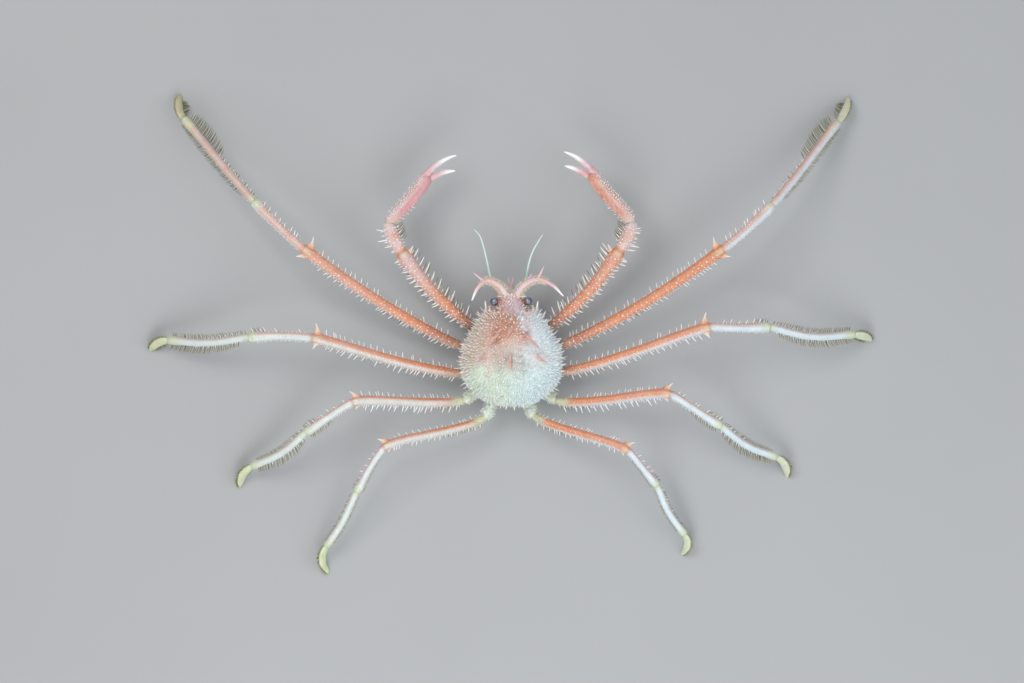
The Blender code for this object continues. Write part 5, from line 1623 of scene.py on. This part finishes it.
def add_granule_row(piece, article, row, scale, tint_of, rng):
    """Round white granules along an article, with a little disorder."""
    count = int(article.length * (row.last - row.first) / row.spacing)
    spots = np.arange(count) + 0.5 + rng.uniform(-0.25, 0.25, count)
    place = row.first + (row.last - row.first) * spots / count
    angle = row.angle + rng.uniform(-6, 6, count)
    root, out = article.skin(place, angle)
    radius = row.radius * scale ** 0.5 * rng.uniform(0.8, 1.15, count)
    base = mix(tint_of(place, angle, root), WHITE, 0.3)
    tip = mix(base, WHITE, rng.uniform(0.45, 1.0, count) * min(1.0, row.radius / 0.24))
    aim = out + article.run.way(place) * 0.4
    add_spikes(piece, root, aim, radius * rng.uniform(1.0, 1.7, count), radius, (base, tip), sides=8,
               shape=GRANULE, sink=0.12)


def add_knee_spines(piece, article, kind, tint_of):
    """The two large hooked spines at the far end of a merus, broad at the root."""
    scale = article.scale
    place = np.array(1 - KNEE_BACK * scale / article.length)
    middle, way = article.run.at(place), article.run.way(place)
    front, up = front_and_up(way, article.side)
    for angle, reach, lean in KNEE_SPINES[kind]:
        out = front * math.cos(math.radians(angle)) + up * math.sin(math.radians(angle))
        root = middle + out * 0.2 + way * KNEE_SHIFT * scale
        tip = middle + (out * reach + way * lean) * scale
        heel = middle + (out * reach * 0.6 + way * (0.5 * KNEE_SHIFT + 0.2 * lean)) * scale
        prong = Article(bezier_run([root, heel, tip]), KNEE_PROFILE, scale, 1, thin=0.62)
        base = tint_of(place[None] - 0.04, np.array((60.0 if angle < 90 else 120.0,)), root[None])

        def tint_at(share):
            shade = mix(base, mix(SALMON, CREAM, 0.5), step(0.3, 0.5, share) * 0.8)
            return mix(shade, mix(MAUVE, WHITE, 0.4), step(0.5, 0.95, share) * 0.9)

        add_tube(piece, prong, 26, 20, tint_at)


def add_finger(piece, shape, palm, start_gap, side, near, tint_of):
    """One finger, from beside the end of the palm's middle line."""
    end_of_palm = np.array(1.0)
    way = palm.run.way(end_of_palm)
    front, _ = front_and_up(way, side)
    base = palm.run.at(end_of_palm) + front * shape.offset
    angles = [math.radians(shape.turn + bend) for bend in (-shape.hook, 0.0, shape.hook)]
    turned = [way * math.cos(angle) + front * math.sin(angle) for angle in angles]
    start = base + way * start_gap
    end = base + turned[1] * shape.length
    reach = np.linalg.norm(end - start) * TIP_EASE
    run = bezier_run([start, start + turned[0] * reach, end - turned[2] * reach, end])
    finger = Article(run, shape.profile, 1.0, side, thin=0.88)
    add_article(piece, finger, tint_of, near=near, far=POINT, sides=24, relief=0.02)
    return finger


def scattered(article, rng, count, first, last):
    """Random places along an article and all round it, with their points and the ways out of its skin."""
    place, angle = rng.uniform(first, last, count), rng.uniform(0, 360, count)
    return place, *article.skin(place, angle)


def finger_tint(place, angle, points):
    place, angle = np.broadcast_arrays(place, angle)
    tint = mix(SALMON, MAUVE, 0.55 + 0.3 * ripple(points, 3.0, 51))
    return mix(tint, WHITE, step(0.3, 0.8, place))


def add_teeth(piece, finger, angle, count):
    """Low blunt teeth along the cutting edge of a finger."""
    place = np.linspace(0.25, 0.86, count)
    root, out = finger.skin(place, angle)
    add_spikes(piece, root, out, 0.26, 0.26, (BLUSH, WHITE), sides=7, shape=GRANULE, sink=0.15)


def build_limb(name, rng):
    """A limb's articles, each in the place of its node, with spines, granules and bristles."""
    kind = name.split("_")[0]
    side, _ = limb_sides(name)
    articles = limb_articles(name)
    scale = articles["merus"].scale
    for article_name, article in articles.items():
        key = shape_key(kind, article_name)
        piece = Piece()

        def tint_of(place, angle, points):
            return limb_tint(name, article_name, place, angle, points)

        near = STUB if article_name == "base" else NECK
        far = FAR_ENDS.get(article_name, CUP)
        add_article(piece, article, tint_of, near=near, far=far)
        if far is CUP:
            add_membrane(piece, article, tint_of)
        for row in map(SpineRow._make, SPINE_ROWS.get(key, ())):
            share = REAR_LENGTH[kind] if 145 < row.angle < 220 else FRONT_LENGTH[kind]
            longer = row._replace(longest=row.longest * share, shortest=row.shortest * share)
            add_spine_row(piece, article, longer, scale, tint_of, rng)
        for row in map(GranuleRow._make, GRANULE_ROWS.get(key, ())):
            smaller = row._replace(radius=row.radius * GRANULE_SHARE[kind])
            add_granule_row(piece, article, smaller, scale, tint_of, rng)
        if article_name == "merus":
            add_knee_spines(piece, article, kind, tint_of)
        if article_name == "base":
            add_base_spines(piece, article, tint_of, rng)
        if article_name == "palm":
            fixed, movable = FINGERS[name]
            finger = add_finger(piece, fixed, article, -FINGER_SINK, side, STUB, finger_tint)
            add_teeth(piece, finger, 0.0, FIXED_TEETH)
            other = Piece()
            finger = add_finger(other, movable, article, GAP, side, NECK, finger_tint)
            add_teeth(other, finger, 180.0, MOVABLE_TEETH)
            other.build(f"{name}_finger_form", "limb", "tip", f"{name}_finger")
        look = "tip" if article_name == "dactylus" else "limb"
        piece.build(f"{name}_{article_name}_form", look, look, f"{name}_{article_name}")
    build_bristles(name, kind, articles, rng)


def add_base_spines(piece, article, tint_of, rng):
    """Short spines scattered over a leg's base."""
    count = int(article.length * 9)
    place = rng.uniform(0.3, 0.95, count)
    angle = rng.uniform(-60, 240, count)
    root, out = article.skin(place, angle)
    base = mix(tint_of(place, angle, root), WHITE, 0.4)
    length = rng.uniform(0.4, 1.1, count)
    add_spikes(piece, root, out + article.run.way(place) * 0.2, length, 0.2, (base, WHITE))


def build_bristles(name, kind, articles, rng):
    """The fringes of curved bristles along the outer articles, in tufts."""
    piece = Piece()
    order = list(articles)
    for fringe in map(Fringe._make, FRINGES[kind]):
        article = articles[fringe.article]
        count = max(int(article.length * (fringe.last - fringe.first) / fringe.spacing), 2)
        place = fringe.first + (fringe.last - fringe.first) * (np.arange(count) + 0.5) / count
        place = place + rng.uniform(-0.2, 0.2, count) * fringe.spacing / article.length
        hump = np.sin(math.pi * (place - fringe.first) / (fringe.last - fringe.first))
        tuft_long = fringe.short + (fringe.long - fringe.short) * np.clip(hump, 0, 1) ** 0.7
        patch = skin_patch(np.full(count, fringe.angle), (order.index(fringe.article) + place) / 5)
        patch = np.repeat(patch, fringe.hairs, 0)
        place = np.repeat(place, fringe.hairs) + rng.normal(0, 0.05, count * fringe.hairs) / article.length
        angle = fringe.angle + np.repeat(rng.uniform(-BRISTLE_SPREAD, BRISTLE_SPREAD, count), fringe.hairs)
        root, out = article.skin(place, angle + rng.uniform(-3, 3, len(place)))
        way = article.run.way(place)
        uneven = rng.uniform(0.75, 1.05, len(place))
        length = np.repeat(tuft_long, fringe.hairs) * uneven * article.scale ** 0.5
        aim = out + way * 0.12 + rng.normal(0, 0.025, (len(place), 3))
        base = mix(OLIVE, STRAW, rng.uniform(0.0, 0.3, len(place)))
        tip = mix(OLIVE, STRAW, rng.uniform(0.4, 1.0, len(place)))
        add_hairs(piece, root, aim, length, BRISTLE_RADIUS, (base, tip), way * 0.3, patch, out * 0.5,
                  sink=0.15)
    add_joint_fuzz(piece, name, kind, articles, order, rng)
    piece.build(f"{name}_bristles", "bristle", "limb", with_patches=True)


def add_joint_fuzz(piece, name, kind, articles, order, rng):
    """Short pale tufts on the base and round the near end of the merus, thickest on the rear legs."""
    for article_name, first, last in (("base", 0.15, 1.0), ("merus", 0.0, 0.13)):
        article = articles[article_name]
        count = int(JOINT_TUFTS[kind] * article.length * (last - first))
        place = rng.uniform(first, last, count)
        angle = rng.uniform(0, 360, count)
        shade = rng.uniform(0.3, 1.0, count)
        comb = rng.normal(0, 0.3, (count, 3))
        place, angle, shade = [np.repeat(values, JOINT_HAIRS) for values in (place, angle, shade)]
        patch = skin_patch(angle, (order.index(article_name) + place) / 5)
        root, out = article.skin(place, angle)
        skin = limb_tint(name, article_name, place, angle, root)
        root = root + rng.normal(0, TUFT_SPREAD, root.shape)
        aim = out * 0.5 + article.run.way(place) * 0.8 + np.repeat(comb, JOINT_HAIRS, 0)
        tip = mix(skin, mix(WHITE, CREAM, rng.uniform(0, 1, len(place))), shade)
        length = rng.uniform(0.6, 1.2, len(place))
        lean = rng.normal(0, 0.06, root.shape)
        add_hairs(piece, root, aim, length, 0.06, (skin, tip), lean, patch, out * 0.6 + SKYWARD)


def build_horn(name, horn, rng):
    """A curved rostral horn with its twigs, granules and a fringe of fuzz."""
    run = path_run(horn.points)
    side = 1 if name.endswith("_l") else -1
    article = Article(run, HORN_PROFILE, 1.0, side)
    piece = Piece()

    def tint_of(place, angle, points):
        place, angle = np.broadcast_arrays(place, angle)
        tint = mix(MAUVE, BLUSH, 0.5 + 0.4 * ripple(points, 4.0, 61))
        tint = mix(tint, SALMON, step(0.25, 0.6, place) * step(0.95, 0.7, place) * 0.4)
        return mix(tint, WHITE, step(0.78, 0.98, place) * 0.9)

    add_article(piece, article, tint_of, near=STUB, far=POINT, sides=24, relief=0.03)
    for place, way, length in horn.twigs:
        root = run.at(np.array((place,)))
        aim = unit(np.array((way,)))
        radius = 0.3 + 0.08 * length
        tints = (mix(BLUSH, SALMON, 0.3), MAUVE)
        add_spikes(piece, root, aim, length + SPINE_DEEP, radius, tints, lean=TWIG_LEAN, sides=12, sink=0.2)
    _, root, out = scattered(article, rng, HORN_GRANULES, 0.02, 0.62)
    length = rng.uniform(0.12, 0.3, HORN_GRANULES)
    add_spikes(piece, root, out, length, 0.16, (BLUSH, WHITE), shape=GRANULE, sink=0.1)
    count = HORN_THORNS
    place = rng.uniform(0.08, 0.5, count)
    angle = np.where(rng.uniform(0, 1, count) > 0.5, 0.0, 180.0) + rng.uniform(-15, 15, count)
    root, out = article.skin(place, angle)
    aim = out + run.way(place) * 0.4
    add_spikes(piece, root, aim, rng.uniform(0.5, 1.0, count), 0.2, (BLUSH, ROSE), sides=7)
    piece.build(f"{name}_form", "horn", "horn", name)
    build_horn_fuzz(name, article, rng)


def build_horn_fuzz(name, article, rng):
    """Pale straw fuzz along both edges of a horn, longest near its root."""
    piece = Piece()
    place = np.repeat(rng.uniform(0.09, 0.72, HORN_TUFTS), HORN_HAIRS)
    edge = np.where(rng.uniform(0, 1, HORN_TUFTS) > 0.4, 0.0, 180.0)
    angle = np.repeat(edge + rng.normal(-8, 24, HORN_TUFTS), HORN_HAIRS)
    root, out = article.skin(place, angle)
    aim = out + article.run.way(place) * 0.35 + rng.normal(0, 0.3, root.shape)
    length = rng.uniform(0.7, 1.8, len(place)) * (1.1 - 0.75 * place)
    base = mix(FUZZ_TAN, CREAM, rng.uniform(0.1, 0.7, len(place)))
    tip = mix(FUZZ_PALE, WHITE, rng.uniform(0.0, 0.6, len(place)))
    lean = rng.normal(0, 0.25, root.shape)
    soft = out * 0.4 + SKYWARD
    add_hairs(piece, root, aim, length, 0.07, (base, tip), lean, skin_patch(angle, place), soft)
    piece.build(f"{name}_fuzz", "fuzz", "horn", with_patches=True)


def build_eye(name, centre, rng):
    """An eye on its stalk: a dark wet ball in a granular reddish collar."""
    middle = np.array(centre) + BODY_AT
    side = 1 if centre[0] > 0 else -1
    root = np.array((EYE_ROOT[0] * side, *EYE_ROOT[1:])) + BODY_AT
    run = bezier_run([root, middle])
    stalk = Article(run, STALK_PROFILE, 0.95, side)
    piece = Piece()

    def tint_of(place, angle, points):
        return mix(COLLAR, BLUSH, 0.25 + 0.35 * ripple(points, 1.6, 71))

    add_article(piece, stalk, tint_of, near=STUB, far=ROUND_END, sides=24, relief=0.04)
    _, points, out = scattered(stalk, rng, STALK_GRANULES, 0.35, 0.92)
    add_spikes(piece, points, out, 0.16, 0.14, (SALMON, WHITE), shape=GRANULE, sink=0.08)
    piece.build(f"{name}_stalk", "horn", "horn", name)
    ball = Piece()
    rings, front = ball_rings(middle, unit(middle - root), EYE_RADIUS, EYE_RADIUS * 1.08, 40, 48)
    high = unit(rings - middle)[..., 2]
    tint = mix(EYE_EDGE, EYE_DARK, step(0.3, 0.5, front + 0.08 * ripple(rings, 1.5, 72)))
    # A blue-grey patch over the upper side of the cornea, partly its own colour and partly a painted
    # reflection of the lamps.
    grey_sheen = bell(front, 0.62, 0.2) * step(0.1, 0.8, high)
    tint = mix(tint, EYE_SHEEN, grey_sheen * 0.8 + 0.25 * grey_sheen * ripple(rings, 0.8, 73))
    tint = mix(tint, EYE_RING, bell(front, 0.42, 0.03) * 0.6)
    add_sleeve(ball, rings, tint)
    obj = ball.build(f"{name}_ball", "horn", "eye", name)
    obj.data.materials[0] = bpy.data.materials.get("cornea_look") or eye_material()


def build_antenna(name, points, rng):
    """An antenna: a stout jointed stem and a long ringed lash with a few fine hairs."""
    run = path_run(points)
    article = Article(run, ANTENNA_PROFILE, 1.0, 1)
    piece = Piece()

    def lash(place):
        return step(FLAGELLUM_FROM, FLAGELLUM_FROM + 0.02, place)

    add_tube(piece, article, 300, 14,
             lambda place: mix(mix(ROSE, BLUSH, step(0.05, 0.2, place)), MINT, lash(place)),
             lambda place: 1 + lash(place) * 0.08 * np.cos(2 * math.pi * place * 95))
    place, root, out = scattered(article, rng, ANTENNA_HAIRS, 0.1, 0.95)
    aim = out + run.way(place) * 0.8
    length = rng.uniform(0.3, 0.7, ANTENNA_HAIRS)
    add_spikes(piece, root, aim, length, 0.03, (CREAM, MINT), sides=3, shape=HAIR, sink=0.05)
    piece.build(f"{name}_form", "feeler", "feeler", name)


def build_tail():
    """The folded tail in its segments."""
    y = np.sort(np.concatenate((np.linspace(TAIL[0][0], TAIL[-1][0], 150), TAIL_JOINTS)))
    half_width = smooth(TAIL, y)
    groove = sum(bell(y, joint, 0.22) for joint in TAIL_JOINTS)
    angle = np.linspace(0, 2 * math.pi, 56, endpoint=False)
    c, s = np.cos(angle), np.sin(angle)
    flat = np.sign(c) * np.abs(c) ** 0.6
    low = np.where(s < 0, np.abs(s) ** 0.7, 0.0)
    x = (half_width * (1 - 0.08 * groove))[:, None] * flat
    keel = 0.25 * bell(flat, 0.0, 0.25)
    depth = TAIL_THICK * (1 - 0.32 * groove)[:, None] * low * (0.85 + keel)
    z = TAIL_TOP - depth + np.where(s > 0, 0.2 * s, 0.0)
    rings = np.stack((x, np.broadcast_to(y[:, None], x.shape), z), -1) + BODY_AT
    tint = mix(CREAM, BLUSH, 0.3 + 0.3 * ripple(rings, 3.0, 81))
    tint = mix(tint, SAND, np.clip(groove, 0, 1)[:, None] * 0.5 * np.ones(x.shape))
    piece = Piece()
    add_sleeve(piece, rings, tint)
    piece.build("tail_plates", "belly", "belly", "tail")


def build_mouth(rng):
    """The outer mouthparts: two plates that meet along the middle, each with a palp."""
    piece = Piece()
    for side in (1, -1):
        y = np.linspace(MOUTH_PLATES[0][0], MOUTH_PLATES[-1][0], 70)
        half_width = smooth(MOUTH_PLATES, y)
        joint = bell(y, 13.0, 0.25)
        angle = np.linspace(0, 2 * math.pi, 40, endpoint=False)
        c, s = np.cos(angle), np.sin(angle)
        x = side * (2.12 + half_width[:, None] * np.sign(c) * np.abs(c) ** 0.65)
        depth = MOUTH_THICK * (1 - 0.35 * joint)[:, None] * np.where(s < 0, np.abs(s) ** 0.7, 0.0)
        ridge = 0.3 * bell(c, 0.5, 0.2) * (s < 0)
        z = MOUTH_TOP - depth * (1 - 0.18 * np.cos(c * math.pi)) - ridge
        rings = np.stack((x, np.broadcast_to(y[:, None], x.shape), z), -1) + BODY_AT
        tint = mix(CREAM, SALMON, 0.3 + 0.3 * ripple(rings, 2.4, 82))
        add_sleeve(piece, rings, tint)
        start = np.array((side * 3.2, 16.6, 6.9)) + BODY_AT
        points = (start, start + (0.2 * side, 1.8, -0.1), start + (-1.4 * side, 2.6, 0.4),
                  start + (-2.2 * side, 0.8, 0.2))
        palp = Article(bezier_run([np.array(p) for p in points]), PALP_PROFILE, 1.0, 1)
        add_tube(piece, palp, 26, 14, lambda place: mix(BLUSH, CREAM, place))
        count = MOUTH_HAIRS
        share = rng.uniform(0.05, 0.98, count)
        across = side * rng.uniform(0.2, 4.0, count)
        root = np.stack((across, 6.4 + share * 11, np.full(count, 6.5)), -1) + BODY_AT
        aim = np.stack((rng.normal(0, 0.5, count), rng.normal(0.5, 0.5, count), np.full(count, -1.0)), -1)
        length = rng.uniform(0.3, 0.8, count)
        add_spikes(piece, root, aim, length, 0.045, (CREAM, STRAW), sides=3, shape=HAIR, sink=0.3)
    piece.build("mouth_plates", "belly", "belly", "mouthparts")


def build_antennules():
    """The small forked feelers under the snout."""
    piece = Piece()
    for side in (1, -1):
        start = np.array((side * 1.3, 20.4, 15.9)) + BODY_AT
        for lift in (0.35, -0.35):
            points = (start, start + (side * 0.3, 2.4, -0.8), start + (side * 0.5, 4.2, 0.2 + lift),
                      start + (side * 1.0, 5.6, lift * 2))
            feeler = Article(bezier_run([np.array(p) for p in points]), ANTENNULE_PROFILE, 1.0, 1)
            add_tube(piece, feeler, 60, 12, lambda place: mix(ROSE, MINT, step(0.3, 0.7, place)),
                     lambda place: 1 + 0.08 * np.cos(2 * math.pi * place * 22) * step(0.5, 0.56, place))
    piece.build("antennules", "feeler", "feeler")


def main():
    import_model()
    rng = np.random.default_rng(RANDOM_SEED)
    make_camera()
    make_studio()
    build_trunk(rng)
    for name in FUZZ_COATS:
        carapace_fuzz(name, rng)
    for name, horn in HORNS.items():
        build_horn(name, horn, rng)
    for name, centre in EYES.items():
        build_eye(name, centre, rng)
    for name, points in ANTENNAE.items():
        build_antenna(name, points, rng)
    build_tail()
    build_mouth(rng)
    build_antennules()
    for name in LIMBS:
        build_limb(name, rng)


main()
